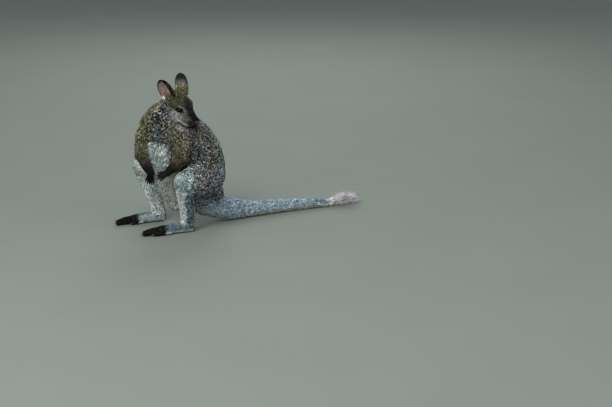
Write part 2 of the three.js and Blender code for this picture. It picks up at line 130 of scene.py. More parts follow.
class Tube:
    """A smooth line of sections. A section is an oval with a half width to the side and separate
    heights above and below the line, outside the coat, whose depth is kept beside them. Past each end
    the tube closes as half an ellipsoid. The power 2 makes an ellipse and more is boxier."""

    def __init__(self, places, sides, sizes, coat, boxy=2.0):
        count = len(places)
        coat = np.interp(np.linspace(0, 1, count), np.linspace(0, 1, len(coat)), coat)
        rows = np.hstack([places + CENTRE, np.broadcast_to(sides, (count, 3)), sizes, coat[:, None]])
        rows = catmull_rom(rows, SAMPLES)
        slope = np.gradient(rows[:, :3], axis=0)
        self.step = np.linalg.norm(slope, axis=1)
        self.line, self.along = rows[:, :3], unit(slope)
        self.side = unit(rows[:, 3:6] - self.along * dot(rows[:, 3:6], self.along)[:, None])
        self.up = np.cross(self.along, self.side)
        self.sizes, self.coat, self.boxy = rows[:, 6:9], rows[:, 9], boxy
        reach = self.sizes.max(1)[:, None] + BOX_MARGIN
        self.low, self.high = (self.line - reach).min(0), (self.line + reach).max(0)

    def at(self, values, place):
        """A list of values along the line, read between its samples."""
        i = np.minimum(place.astype(int), SAMPLES - 2)
        t = place - i
        return values[i] + (values[i + 1] - values[i]) * (t if values.ndim == 1 else t[:, None])

    def locate(self, points):
        """The place along the line next to each point, and its offset from there."""
        squares = (self.line**2).sum(1) - 2 * points @ self.line.T
        nearest = squares.argmin(1)
        slide = dot(points - self.line[nearest], self.along[nearest]) / self.step[nearest]
        place = np.clip(nearest + np.clip(slide, -1, 1), 0, SAMPLES - 1)
        return place, points - self.at(self.line, place)

    def distance(self, points):
        """Distance outside the bare body: along the ray from the line to the point, how far the point
        lies past the oval. Points far from the tube get a large number instead."""
        out = np.full(len(points), FAR)
        near = ((points > self.low) & (points < self.high)).all(1)
        if near.any():
            place, offset = self.locate(points[near])
            across = np.abs(dot(offset, self.at(self.side, place)))
            rise = dot(offset, self.at(self.up, place))
            past = dot(offset, self.at(self.along, place))
            wide, up, down = (self.at(self.sizes, place) - self.at(self.coat, place)[:, None]).T
            height = np.where(rise > 0, up, down)
            oval = ((across / wide) ** self.boxy + (np.abs(rise) / height) ** self.boxy) ** (2 / self.boxy)
            share = np.sqrt(oval + (4 * past / (2 * wide + up + down)) ** 2)
            out[near] = np.linalg.norm(offset, axis=1) * (1 - 1 / np.maximum(share, 1e-6))
        return out

    def round_about(self, points):
        """Share of the line's length next to each point, past 0 and 1 beyond its ends, and the side and
        upward parts of the direction from the line, as shares of the section's own size."""
        place, offset = self.locate(points)
        wide, up, down = self.at(self.sizes, place).T
        past = dot(offset, self.at(self.along, place)) / self.step.sum()
        rise = dot(offset, self.at(self.up, place))
        across = dot(offset, self.at(self.side, place)) / wide
        return place / (SAMPLES - 1) + past, across, rise / np.where(rise > 0, up, down)

    def heading(self, points):
        """The line's direction next to each point."""
        return self.at(self.along, self.locate(points)[0])


def left_of(turn):
    """The level direction to the animal's left where its body is turned by that many degrees."""
    angle = np.radians(turn)
    return np.stack([np.cos(angle), np.sin(angle), 0 * angle], -1)


def turned_tube(rows, coat):
    """A tube from rows of x, y, z, half width, half depth and turn."""
    rows = np.array(rows, float)
    return Tube(rows[:, :3], left_of(rows[:, 5]), rows[:, [3, 4, 4]], coat)


def straight_tube(places, sizes, side, coat):
    """A tube from places and rows of half width and half depth, with one side direction."""
    return Tube(np.array(places, float), side, np.array(sizes, float)[:, [0, 1, 1]], coat)


# The head's own axes, and its sections: distance back from the nose, half width, height, depth, coat.
NOSE_TIP = np.array([132.0, 27.0, 429.0])
HEAD_TURN, HEAD_PITCH = math.radians(124), math.radians(24)
HEAD_LEFT = np.array([math.cos(HEAD_TURN), math.sin(HEAD_TURN), 0])
HEAD_FORWARD = np.array(
    [
        math.sin(HEAD_TURN) * math.cos(HEAD_PITCH),
        -math.cos(HEAD_TURN) * math.cos(HEAD_PITCH),
        -math.sin(HEAD_PITCH),
    ]
)
HEAD_UP = np.cross(HEAD_FORWARD, HEAD_LEFT)
HEAD_SECTIONS = np.array(
    [
        (146, 28, 32, 32, 7),
        (130, 41, 48, 48, 6),
        (110, 46, 60, 54, 5),
        (90, 44.5, 60, 54, 4.5),
        (70, 36, 48, 50, 3.5),
        (50, 26, 33, 44, 2.5),
        (34, 20, 23, 42, 2),
        (22, 17, 16, 37, 1.5),
    ],
    float,
)
EYE = {"radius": 12, "back": 76, "side": 30.5, "up": 19.5}
NOSE = {"wide": 12, "tall": 9, "deep": 7, "back": 7, "up": -2}
EAR = {
    "root": {"right": (122, 31.5, 39.5), "left": (128, 32, 36)},
    "length": 84,
    "width": 26,
    "widest": 0.4,
    "blunt": 2.4,
    "wrap": (130, 55),
    "set_back": 13,
    "lean": {"right": (0.6, -0.33), "left": (0.3, -0.2)},
    "open": {"right": (0.8, 0.6), "left": (1, -0.45)},
}


def in_head(back, left, up):
    """A place in the head: so far back from the nose, to the left and up."""
    back, left, up = (np.asarray(v, float)[..., None] for v in (back, left, up))
    return NOSE_TIP - back * HEAD_FORWARD + left * HEAD_LEFT + up * HEAD_UP


def head_place(points):
    """The reverse: distance back, left and up of points in the footprint's frame."""
    offset = points - NOSE_TIP - CENTRE
    return -offset @ HEAD_FORWARD, offset @ HEAD_LEFT, offset @ HEAD_UP


TRUNK = [
    (0, 100, 138, 70, 62, 15),
    (2, 84, 195, 92, 96, 17),
    (8, 58, 265, 102, 108, 25),
    (14, 18, 330, 100, 106, 40),
    (10, -42, 384, 94, 82, 56),
    (2, -66, 416, 78, 62, 70),
]
BELLY = [
    (24, -86, 392, 52, 44, 62),
    (31, -93, 330, 52, 48, 54),
    (24, -80, 262, 58, 52, 38),
    (12, -48, 190, 64, 60, 22),
    (2, -14, 118, 54, 56, 15),
]
NECK = [(8, -68, 412, 72, 62, 70), (20, -62, 444, 60, 55, 88), (34, -52, 472, 46, 46, 108)]
TAIL = [
    (2, 30, 122, 54, 50, 180),
    (0, 92, 94, 62, 67, 180),
    (-2, 154, 58, 53, 52, 180),
    (-4, 212, 43, 42, 44.5, 180),
    (-8, 270, 35, 35, 37, 180),
    (-12, 340, 30, 30, 32, 180),
    (-16, 430, 26, 26.5, 28, 180),
    (-14, 540, 21, 21, 22.5, 180),
    (-6, 630, 17, 17, 18.5, 180),
    (2, 700, 20, 17, 22, 180),
    (8, 742, 17, 9, 12, 180),
]
# Each limb's half widths and half depths, how far its sides are turned, and its coat.
LIMBS = {
    "thigh": ([(52, 66), (50, 74), (44, 56), (36, 40)], 17.0, [9, 9, 8]),
    "shin": ([(33, 37), (27, 37), (20.5, 32), (18.5, 30)], 0.0, [7, 5, 4]),
    "upper_arm": ([(47, 52), (35, 40), (28, 31)], 50.0, [10, 7]),
    "forearm": ([(28, 30), (23, 25), (14.5, 15.5)], 50.0, [7, 3]),
}
# Along the sole from the heel: distance, offset outwards, height, half width, half height.
FOOT = {
    "instep": [
        (18, 0, 19, 17, 20.5),
        (58, 0, 21, 18.5, 22.5),
        (104, 0, 19.5, 20, 21),
        (128, 1, 18, 17, 19.5),
    ],
    "fourth": [(112, 2, 18, 13.5, 19.5), (158, 1, 16, 13, 17.5), (190, 0, 12, 11, 13)],
    "fifth": [(96, 13, 14, 9, 15), (138, 15, 11, 9, 12), (156, 14, 9, 7.5, 9.5)],
    "grooming": [(100, -14, 12, 7, 12.5), (128, -16, 8, 6.5, 8.5), (139, -16, 7, 5.5, 7)],
}
FINGERS = (-1, -0.5, 0, 0.5, 1)  # where each finger stands across the palm
HAND = {"knuckles": 18, "arch": 6, "spread": 9, "finger": 21, "splay": 0.32, "curl": 0.22}
PALM = [(-4, 11, 10.5), (12, 13, 9), (20, 12, 7)]  # distance from the wrist, half width, half thickness
FINGER = [(4.4, 4.8), (3.5, 3.6)]
POSE = {
    "left": {
        "thigh": [(54, 96, 186), (82, 58, 200), (107, 0, 208), (112, -26, 208)],
        "shin": [(112, -30, 205), (102, -21, 140), (92, -10, 80), (87, -8, 42)],
        "heel": (88.5, 17, 0),
        "toe": (75, -191, 0),
        "upper_arm": [(52, -22, 392), (84, -28, 346), (97, -36, 290)],
        "forearm": [(97, -38, 288), (105, -63, 266), (107, -88, 246)],
        "hand": [(107, -90, 245), (91, -130, 227)],
        "palm": (0.75, -0.3, 0.5),
    },
    "right": {
        "thigh": [(-54, 60, 188), (-82, 8, 204), (-108, -70, 216), (-116, -112, 220)],
        "shin": [(-116, -116, 214), (-106, -92, 145), (-99, -71, 82), (-95, -63, 42)],
        "heel": (-92.5, -32, 0),
        "toe": (-102, -240, 0),
        "upper_arm": [(-24, -108, 392), (0, -146, 356), (19, -160, 304)],
        "forearm": [(20, -160, 302), (32, -149, 267), (42, -135, 234)],
        "hand": [(42, -135, 232), (37, -141, 183)],
        "palm": (0.8, -0.6, 0.1),
    },
}


def foot_axes(name):
    """A foot's heel, and its level directions forwards and outwards."""
    heel, toe = (np.array(POSE[name][end], float) for end in ("heel", "toe"))
    forward = unit(toe - heel)
    return heel, forward, np.array([-forward[1], forward[0], 0]) * SIDES[name]


def on_foot(name, rows):
    """Places on a foot from rows of distance along it, offset outwards and height."""
    heel, forward, out = foot_axes(name)
    rows = np.array(rows, float)
    return heel + rows[:, :1] * forward + rows[:, 1:2] * out + rows[:, 2:3] * [0, 0, 1]


def hand_axes(name):
    """A hand's wrist, the way that it points, the way its back faces and the way across it."""
    wrist, tip = (np.array(end, float) for end in POSE[name]["hand"])
    reach = unit(tip - wrist)
    back = np.array(POSE[name]["palm"])
    back = unit(back - dot(back, reach) * reach)
    return wrist, reach, back, np.cross(reach, back)


def finger_line(name, spread):
    """A finger's knuckle and the way that it points."""
    wrist, reach, back, across = hand_axes(name)
    start = HAND["knuckles"] - HAND["arch"] * spread**2
    knuckle = wrist + reach * start + across * HAND["spread"] * spread
    return knuckle, unit(reach + HAND["splay"] * spread * across - HAND["curl"] * back)


def build_tubes():
    """Every tube of the body by name."""
    tubes = {
        "trunk": turned_tube(TRUNK, [11]),
        "belly": turned_tube(BELLY, [10]),
        "neck": turned_tube(NECK, [10]),
        "tail": turned_tube(TAIL, [9, 9, 8, 7, 6.5, 6, 6, 6, 9, 6]),
        "head": Tube(
            in_head(HEAD_SECTIONS[:, 0], 0, 0), HEAD_LEFT, HEAD_SECTIONS[:, 1:4], HEAD_SECTIONS[:, 4], 2.8
        ),
    }
    for name in SIDES:
        for limb, (sizes, turn, coat) in LIMBS.items():
            tubes[f"{limb}_{name}"] = straight_tube(POSE[name][limb], sizes, left_of(turn), coat)
        wrist, reach, _, across = hand_axes(name)
        places = [wrist + distance * reach for distance, _, _ in PALM]
        tubes["palm_" + name] = straight_tube(places, [row[1:] for row in PALM], across, [2])
        for number, spread in enumerate(FINGERS, 1):
            knuckle, way = finger_line(name, spread)
            places = knuckle + np.array([[0.0], [HAND["finger"]]]) * way
            label = f"finger_{number}_{name}"
            tubes[label] = straight_tube(places, FINGER, across, [0.8])
        for toe, rows in FOOT.items():
            rows = np.array(rows, float)
            side = np.cross(foot_axes(name)[1], [0, 0, 1])
            label = f"{toe}_{name}"
            tubes[label] = straight_tube(on_foot(name, rows), rows[:, 3:5], side, [3, 2])
    return tubes


TUBES = build_tubes()


# --------------------------------------------------------------------------------- the bare body's field
def merged(a, b, reach):
    """The smaller of two distances, rounded over where they are within reach of each other."""
    share = np.clip(0.5 + 0.5 * (b - a) / reach, 0, 1)
    return b + (a - b) * share - reach * share * (1 - share)


def lump(points, centre, radii, axes):
    """Distance outside an ellipsoid, by the same rule as a tube's."""
    offset = points - centre
    share = np.sqrt((((offset @ axes.T) / radii) ** 2).sum(1))
    return np.linalg.norm(offset, axis=1) * (1 - 1 / np.maximum(share, 1e-6))


HEAD_AXES = np.array([HEAD_FORWARD, HEAD_LEFT, HEAD_UP])
# How far the rounding reaches where each part runs into the ones before it.
ROUNDING = {
    "belly": 26.0,
    "neck": 30.0,
    "tail": 34.0,
    "head": 16.0,
    "thigh": 22.0,
    "upper_arm": 24.0,
    "toe": 3.0,
    "foot": 12.0,
    "leg": 14.0,
    "forearm": 7.0,
    "finger": 1.6,
    "feature": 7.0,
}
GROUND_GAP = 0.4  # from the floor to the bare sole
# Bulges of the face: distance back, to each side, up, then the radii forwards, sideways and upwards.
FACE_LUMPS = {
    "brow": (84, 28, 32, 17, 12, 12),
    "cheek": (84, 26, -18, 27, 15, 24),
    "ear_root": (127, 31, 32, 13, 12, 15),
    "lip": (20, 9, -14, 14, 8.5, 11),
}


def face_field(points):
    """The head's tube with its brows, cheeks, ear roots and upper lips."""
    out = TUBES["head"].distance(points)
    near = out < 40
    if near.any():
        inner = points[near]
        face = out[near]
        for back, side, up, *radii in FACE_LUMPS.values():
            for sign in SIDES.values():
                centre = in_head(back, sign * side, up) + CENTRE
                bulge = lump(inner, centre, np.array(radii, float), HEAD_AXES)
                face = merged(face, bulge, ROUNDING["feature"])
        out[near] = face
    return out


def body_field(points):
    """Distance outside the whole bare body: the tubes merged part by part, softly where flesh runs on
    from one to the next and sharply where two only touch, and cut off level just above the floor."""
    away = {
        name: tube.distance(points)
        for name, tube in TUBES.items()
        if not name.startswith(("head", "palm", "finger"))
    }
    body = away["trunk"]
    for name in ("belly", "neck", "tail"):
        body = merged(body, away[name], ROUNDING[name])
    body = merged(body, face_field(points), ROUNDING["head"])
    for name in SIDES:
        for limb in ("thigh", "upper_arm"):
            body = merged(body, away[f"{limb}_{name}"], ROUNDING[limb])
        foot = away["instep_" + name]
        for toe in ("fourth", "fifth", "grooming"):
            foot = merged(foot, away[f"{toe}_{name}"], ROUNDING["toe"])
        leg = merged(away["shin_" + name], foot, ROUNDING["foot"])
        body = merged(body, leg, ROUNDING["leg"])
        body = merged(body, away["forearm_" + name], ROUNDING["forearm"])
    return np.maximum(body, GROUND_GAP - points[:, 2])


def hand_tubes(name):
    """The names of a hand's tubes: the palm and the five fingers."""
    return ["palm_" + name] + [f"finger_{number}_{name}" for number in range(1, 6)]


def hand_field(name):
    """The field of one hand: the palm and the five fingers, merged closely."""
    palm, *fingers = (TUBES[tube] for tube in hand_tubes(name))

    def field(points):
        hand = palm.distance(points)
        for finger in fingers:
            hand = merged(hand, finger.distance(points), ROUNDING["finger"])
        return hand

    return field


def in_chunks(function, points, size=40000):
    """A function of many points, worked out some at a time to save memory."""
    return np.concatenate([function(points[i : i + size]) for i in range(0, len(points), size)])


def slope(field, points, step=0.6):
    """The direction in which a field grows fastest, from its differences along the three axes."""
    steps = step * np.eye(3)
    parts = [in_chunks(field, points + away) - in_chunks(field, points - away) for away in steps]
    return np.stack(parts, -1) / (2 * step)


# --------------------------------------------------------------------------------- meshing the bare body
CELL = 3.8  # the skin's basic spacing
HAND_CELL = 1.3
COARSE = 4  # how many cells wide one of the first look's is


def grid_values(field, low, shape, cell):
    """The field on a grid, worked out only near the surface. A first look on a coarse grid tells where
    that is, and elsewhere its values are kept, as only their sign matters."""
    coarse_shape = [count // COARSE + 2 for count in shape]
    index = np.indices(coarse_shape).reshape(3, -1).T
    first = in_chunks(field, low + index * cell * COARSE).reshape(coarse_shape)
    near = np.abs(first) < 2 * cell * COARSE
    for axis in range(3):
        near = near | np.roll(near, 1, axis) | np.roll(near, -1, axis)
    for axis, count in enumerate(shape):
        first = np.repeat(first, COARSE, axis).take(range(count), axis)
        near = np.repeat(near, COARSE, axis).take(range(count), axis)
    first[near] = in_chunks(field, low + np.argwhere(near) * cell)
    return first


def surface_net(field, low, high, cell):
    """A closed surface where the field is zero. Each cell that the surface crosses holds one vertex, at
    the mean of the crossings on its edges, and each grid edge that it crosses is ringed by the vertices
    of the four cells about it."""
    shape = np.ceil((high - low) / cell).astype(int) + 1
    values = grid_values(field, low, shape, cell)
    stride = np.array([shape[1] * shape[2], shape[2], 1])
    crossings, rings = [], []
    for axis in range(3):
        first = np.take(values, range(shape[axis] - 1), axis)
        second = np.take(values, range(1, shape[axis]), axis)
        spot = np.argwhere((first < 0) != (second < 0))
        a, b = first[tuple(spot.T)], second[tuple(spot.T)]
        place = spot + (a / (a - b))[:, None] * np.eye(3)[axis]
        across, onwards = stride[(axis + 1) % 3], stride[(axis + 2) % 3]
        home = spot @ stride
        ring = np.stack([home - across - onwards, home - onwards, home, home - across], 1)
        rings.append(np.where((a < 0)[:, None], ring, ring[:, ::-1]))
        crossings.append(np.repeat(place, 4, 0))
    rings, crossings = np.vstack(rings), np.vstack(crossings)
    _, numbers = np.unique(rings.ravel(), return_inverse=True)
    count = np.bincount(numbers)
    # Crossings are listed for each ring's four corners in turn, as the rings' names are.
    vertices = np.stack([np.bincount(numbers, crossings[:, k]) / count for k in range(3)], 1)
    quads = numbers.reshape(-1, 4)
    return low + vertices * cell, np.vstack([quads[:, [0, 1, 2]], quads[:, [0, 2, 3]]])


def split(vertices, triangles, chosen):
    """Halves every edge between two chosen vertices. A triangle becomes four, three or two, by how
    many of its edges were halved, so that the surface stays closed."""
    ends = np.sort(triangles[:, [0, 1, 1, 2, 2, 0]].reshape(-1, 2), 1)
    wanted = chosen[ends].all(1)
    pairs, numbers = np.unique(ends[wanted], axis=0, return_inverse=True)
    middle = np.full(len(ends), -1)
    middle[wanted] = len(vertices) + numbers.ravel()
    middle = middle.reshape(-1, 3)
    vertices = np.vstack([vertices, vertices[pairs].mean(1)])
    halved = (middle >= 0).sum(1)
    # Turned so that a lone halved edge comes first, and a lone whole one last.
    turn = np.where(halved == 1, (middle >= 0).argmax(1), 0)
    turn = np.where(halved == 2, (middle < 0).argmax(1) + 1, turn)
    order = (turn[:, None] + np.arange(3)) % 3
    corner, middle = np.take_along_axis(triangles, order, 1), np.take_along_axis(middle, order, 1)
    a, b, c = corner.T
    ab, bc, ca = middle.T
    patterns = {
        0: [(a, b, c)],
        1: [(a, ab, c), (ab, b, c)],
        2: [(ab, b, bc), (a, ab, bc), (a, bc, c)],
        3: [(a, ab, ca), (ab, b, bc), (ca, bc, c), (ab, bc, ca)],
    }
    made = [np.stack(t, 1)[halved == count] for count, rows in patterns.items() for t in rows]
    return vertices, np.vstack(made)


def settled(vertices, field, rounds=2):
    """Vertices moved along the field's slope to where it is zero."""
    for _ in range(rounds):
        way = slope(field, vertices)
        value = in_chunks(field, vertices)[:, None]
        vertices = vertices - np.clip(value, -2, 2) * way / np.maximum(dot(way, way), 0.2)[:, None]
    return vertices


def outward(vertices, triangles):
    """Each vertex's normal: the mean of its triangles' normals, weighted by their areas."""
    a, b, c = (vertices[triangles[:, k]] for k in range(3))
    face = np.cross(b - a, c - a)
    total = [np.bincount(triangles.ravel(), np.repeat(face[:, k], 3), len(vertices)) for k in range(3)]
    return unit(np.stack(total, 1))


# ------------------------------------------------------------------------------------ features of the face
MOUTH = np.array([(9, -24), (20, -31), (38, -36), (50, -31), (64, -24)], float)  # distance back, height
GROOVE = {"deep": 1.7, "wide": 1.3}
LID = (11.2, 6.6)  # half length and half height of the opening between the lids
# The lids, by shares of that opening: the skin dives under the ball inside the opening, stands on the
# ball most at the edge, and comes back to the face between the last two.
LIDS = {"opening": 0.97, "edge": 1.12, "edge_width": 0.28, "from": 1.25, "to": 2.1}
LID_SUNK, LID_STAND = 3.5, 1.5  # under the ball and on it
ROUND_THE_EYE = 2.3  # where an eye's finer skin ends


def eye_frame(name):
    """An eye's middle, and its own axes: outwards through the pupil, forwards and upwards."""
    sign = SIDES[name]
    centre = in_head(EYE["back"], sign * EYE["side"], EYE["up"]) + CENTRE
    out = unit(sign * HEAD_LEFT + 0.22 * HEAD_FORWARD + 0.12 * HEAD_UP)
    forward = unit(HEAD_FORWARD - dot(HEAD_FORWARD, out) * out)
    up = np.cross(out, forward) * -sign
    return centre, out, forward, up


def eye_place(points, name):
    """Points about an eye: how far out, how far from the eye's axis against the lids' opening, where 1
    is on the lids' edge, and how far forwards and up."""
    centre, out, forward, up = eye_frame(name)
    offset = points - centre
    along, rise, away = offset @ forward, offset @ up, offset @ out
    # The opening is an almond, slightly lower at its rear corner.
    rise = rise - 0.1 * along
    x, y = along / LID[0], rise / LID[1]
    return away, np.sqrt(x**2 + y**2 + 0.35 * np.abs(x * y)), along, rise


def mouth_gap(points):
    """Height of points above the mouth's line, and how much of the line there is where they are."""
    back, side, up = head_place(points)
    line = np.interp(back, MOUTH[:, 0], MOUTH[:, 1])
    share = ramp(back, 2, 8) * (1 - ramp(back, 58, 64)) * (np.abs(side) < 40) * (up > -60)
    return up - line, share


def with_features(vertices, normals):
    """The skin's vertices with the lids drawn round the eyes and the mouth's groove pressed in."""
    gap, share = mouth_gap(vertices)
    vertices = vertices - normals * (GROOVE["deep"] * bell(gap, GROOVE["wide"]) * share)[:, None]
    for name in SIDES:
        _, out, _, _ = eye_frame(name)
        away, spread, along, rise = eye_place(vertices, name)
        reach = EYE["radius"] ** 2 - along**2 - rise**2
        ball = np.sqrt(np.maximum(reach, 20.0))
        near = (away > 0) & (spread < ROUND_THE_EYE)
        inside = spread < LIDS["opening"]
        edge = ball + LID_STAND * bell(spread - LIDS["edge"], LIDS["edge_width"])
        lids = np.where(inside, ball - LID_SUNK, np.maximum(edge, away))
        back_to_face = ramp(spread, LIDS["from"], LIDS["to"])
        moved = np.where(inside, lids, away + (lids - away) * (1 - back_to_face))
        vertices = np.where(near[:, None], vertices + (moved - away)[:, None] * out, vertices)
    return vertices


# ------------------------------------------------------------------------------------------------- ears
def ear_axes(name):
    """An ear's root, its axis, the way that its cup opens and the way across it."""
    sign = SIDES[name]
    level = unit(HEAD_FORWARD * [1, 1, 0])

    def way(out_forward, up):
        out, forward = out_forward
        return np.array([0, 0, up]) + forward * level + out * sign * HEAD_LEFT

    axis = unit(way(EAR["lean"][name], 1))
    opening = way(EAR["open"][name], 0)
    opening = unit(opening - dot(opening, axis) * axis)
    back, outwards, up = EAR["root"][name]
    root = in_head(back, sign * outwards, up) + CENTRE
    return root, axis, opening, np.cross(opening, axis)


def ear_sheet(name, t, s, inset):
    """Points of an ear's cup at shares t of its length and s across it, from -1 to 1. Each row is an arc
    bent round the axis, nearly closed at the root and open at the tip, on a half width that swells and
    shrinks as half an ellipse. The rim turns out a little, and low ribs run up the cup."""
    root, axis, opening, across = ear_axes(name)
    from_widest = np.abs(np.maximum(t, 0) - EAR["widest"]) / (1 - EAR["widest"])
    swell = np.maximum(1 - from_widest ** EAR["blunt"], 0) ** (1 / EAR["blunt"])
    wrap = np.radians(EAR["wrap"][0] + (EAR["wrap"][1] - EAR["wrap"][0]) * np.clip(1.4 * t, 0, 1))
    radius = EAR["width"] * swell / np.sin(np.minimum(wrap, math.pi / 2))
    rim = 1.6 * np.abs(s) ** 6 * ramp(t, 0.1, 0.5)
    ribs = 0.35 * np.cos(9 * s) * (1 - s**2) * ramp(t, 0.05, 0.3) * (1 - ramp(t, 0.7, 1.0))
    angle = s * wrap
    girth = (radius - inset + ribs)[..., None]
    return (
        root
        + axis * (t * EAR["length"])[..., None]
        + opening * (radius - EAR["set_back"] + rim)[..., None]
        - opening * girth * np.cos(angle)[..., None]
        + across * girth * np.sin(angle)[..., None]
    )


EAR_ROWS, EAR_COLUMNS = 44, 40
EAR_SPAN = (-0.16, 0.99)  # the skin's reach along the ear, from inside the head
EAR_FACES = (0.8, 2.3)  # insets of the skin's outer and inner face from the coat's outside


def closed_rings(rings):
    """Quads as triangles between a stack of equal closed rings, with a fan to a middle point at each
    end. Returns the vertices and the triangles."""
    rows, sides, _ = rings.shape
    i, j = np.meshgrid(np.arange(rows - 1), np.arange(sides), indexing="ij")
    a, b = i * sides + j, i * sides + (j + 1) % sides
    c, d = b + sides, a + sides
    walls = np.stack([a, b, c, a, c, d], -1).reshape(-1, 3)
    j = np.arange(sides)
    onwards, last_row = (j + 1) % sides, (rows - 1) * sides
    start = np.stack([np.full(sides, rows * sides), onwards, j], 1)
    end = np.stack([np.full(sides, rows * sides + 1), last_row + j, last_row + onwards], 1)
    vertices = np.vstack([rings.reshape(-1, 3), rings[0].mean(0), rings[-1].mean(0)])
    return vertices, np.vstack([walls, start, end])


def ear_grid():
    """Shares along and across an ear in rows that run out along its outer face and back along its inner
    one, and which of them are inside."""
    across = np.linspace(-1, 1, EAR_COLUMNS)
    t, s = np.meshgrid(np.linspace(*EAR_SPAN, EAR_ROWS), np.r_[across, across[::-1]], indexing="ij")
    inside = np.broadcast_to(np.arange(2 * EAR_COLUMNS) >= EAR_COLUMNS, t.shape)
    return t, s, inside


def ear_skin(name):
    """An ear's closed skin, both faces in one."""
    t, s, inside = ear_grid()
    return closed_rings(ear_sheet(name, t, s, np.where(inside, EAR_FACES[1], EAR_FACES[0])))


# ------------------------------------------------------------------------------------------------ the skin
def hand_skin(name):
    """A hand meshed more finely than the body. Its wrist ends inside the forearm."""
    lines = np.vstack([TUBES[tube].line for tube in hand_tubes(name)])
    mesh = surface_net(hand_field(name), lines.min(0) - 20, lines.max(0) + 20, HAND_CELL)
    return settled(mesh[0], hand_field(name), 1), mesh[1]


def body_skin():
    """The body's skin, with finer cells on the head and feet, and finer still about the eyes, the mouth
    and the nose."""
    lines = np.vstack([tube.line for tube in TUBES.values()])
    low, high = lines.min(0) - 110, lines.max(0) + 110
    low[2] = -6
    vertices, triangles = surface_net(body_field, low, high, CELL)
    fine = np.abs(face_field(vertices)) < 6
    for name, tube in TUBES.items():
        if name.startswith(tuple(FOOT)):
            fine |= tube.distance(vertices) < 4
    vertices, triangles = split(vertices, triangles, fine)
    vertices = settled(vertices, body_field)
    back, _, up = head_place(vertices)
    gap, share = mouth_gap(vertices)
    finer = (share > 0.01) & (np.abs(gap) < 4) | (back < 24) & (np.abs(up) < 45)
    for name in SIDES:
        away, spread, _, _ = eye_place(vertices, name)
        finer |= (away > 0) & (spread < ROUND_THE_EYE)
    vertices, triangles = split(vertices, triangles, finer)
    return with_features(vertices, outward(vertices, triangles)), triangles


def joined(meshes):
    """Several lists of vertices and triangles as one."""
    starts = np.cumsum([0] + [len(vertices) for vertices, _ in meshes])
    triangles = [faces + start for (_, faces), start in zip(meshes, starts)]
    return np.vstack([vertices for vertices, _ in meshes]), np.vstack(triangles)


# --------------------------------------------------------------------------------------------- the coat
# Each kind of coat: length, width, lift in degrees, tufts to the square centimetre, and how much one
# tuft differs from the next in brightness.
COATS = {
    "trunk": {"length": 20, "width": 2.8, "lift": 28, "thick": 23, "speckle": 1.75},
    "belly": {"length": 23, "width": 2.6, "lift": 22, "thick": 19, "speckle": 0.6},
    "neck": {"length": 17, "width": 2.7, "lift": 32, "thick": 28, "speckle": 2.4},
    "thigh": {"length": 18, "width": 2.7, "lift": 26, "thick": 23, "speckle": 1.6},
    "upper_arm": {"length": 16, "width": 2.3, "lift": 24, "thick": 28, "speckle": 1.05},
    "forearm": {"length": 10, "width": 1.8, "lift": 18, "thick": 38, "speckle": 0.45},
    "hand": {"length": 6, "width": 1.2, "lift": 24, "thick": 75, "speckle": 0.2},
    "shin": {"length": 10, "width": 1.9, "lift": 19, "thick": 38, "speckle": 1.15},
    "foot": {"length": 8, "width": 1.4, "lift": 18, "thick": 42, "speckle": 0.6},
    "tail": {"length": 13, "width": 2.0, "lift": 20, "thick": 28, "speckle": 0.85},
    "head": {"length": 9.5, "width": 1.4, "lift": 20, "thick": 62, "speckle": 0.95},
}
BACKWARDS = ("head", "neck", "trunk")  # where the hair lies against the line's own way
BRIGHTEST = 0.9  # the lightest that any hair is
# A tuft's darker root is partly the hair's own darker base and partly painted shade deep in the coat.
ROOT_SHADE = 0.55  # how dark a tuft is at its root


def kind_of(tube):
    """The kind of coat on a tube."""
    if tube.startswith(("palm", "finger")):
        return "hand"
    if tube.startswith(tuple(FOOT)):
        return "foot"
    return tube.removesuffix("_left").removesuffix("_right")


def shares(points, softness=5.0):
    """How much each tube counts at points on the skin: the nearest most, and others less the further
    off they are."""
    away = np.stack([tube.distance(points) for tube in TUBES.values()], 1)
    weight = np.exp(-(away - away.min(1, keepdims=True)) / softness)
    weight /= weight.sum(1, keepdims=True)
    return dict(zip(TUBES, weight.T))


def kind_shares(weights):
    """The tubes' shares, summed for each kind of coat."""
    return {
        kind: sum(weight for name, weight in weights.items() if kind_of(name) == kind) for kind in COATS
    }


def blended(kinds, what):
    """A number from the table of coats, blended by the kinds' shares."""
    return sum(share * COATS[kind][what] for kind, share in kinds.items())


def flat_on(normals, ways):
    """Directions laid flat on the skin."""
    return unit(ways - normals * dot(ways, normals)[:, None])


def ruffled(ways, normals, amount, random):
    """Directions turned at random by about that amount, flat on the skin."""
    return flat_on(normals, unit(ways + amount * random.normal(size=normals.shape)))


def lie_of(points, normals, weights):
    """The way that the hair lies: along the nearest tubes, away from the nose and out to the ends of
    the limbs and tail, turned a little by a slow ripple, and flat on the skin."""
    way = np.zeros_like(points)
    for name, tube in TUBES.items():
        used = weights[name] > 0.02
        if used.any():
            sign = -1 if name in BACKWARDS else 1
            way[used] += sign * weights[name][used][:, None] * tube.heading(points[used])
    way[:, 2] -= 0.18 * (points[:, 2] > 120)  # above the feet the hair also hangs a little
    way = unit(way - normals * dot(way, normals)[:, None] + 1e-4)
    turn = 0.22 * ripple(points, 46, 3) + 0.1 * ripple(points, 17, 4)
    return unit(way * np.cos(turn)[:, None] + np.cross(normals, way) * np.sin(turn)[:, None])


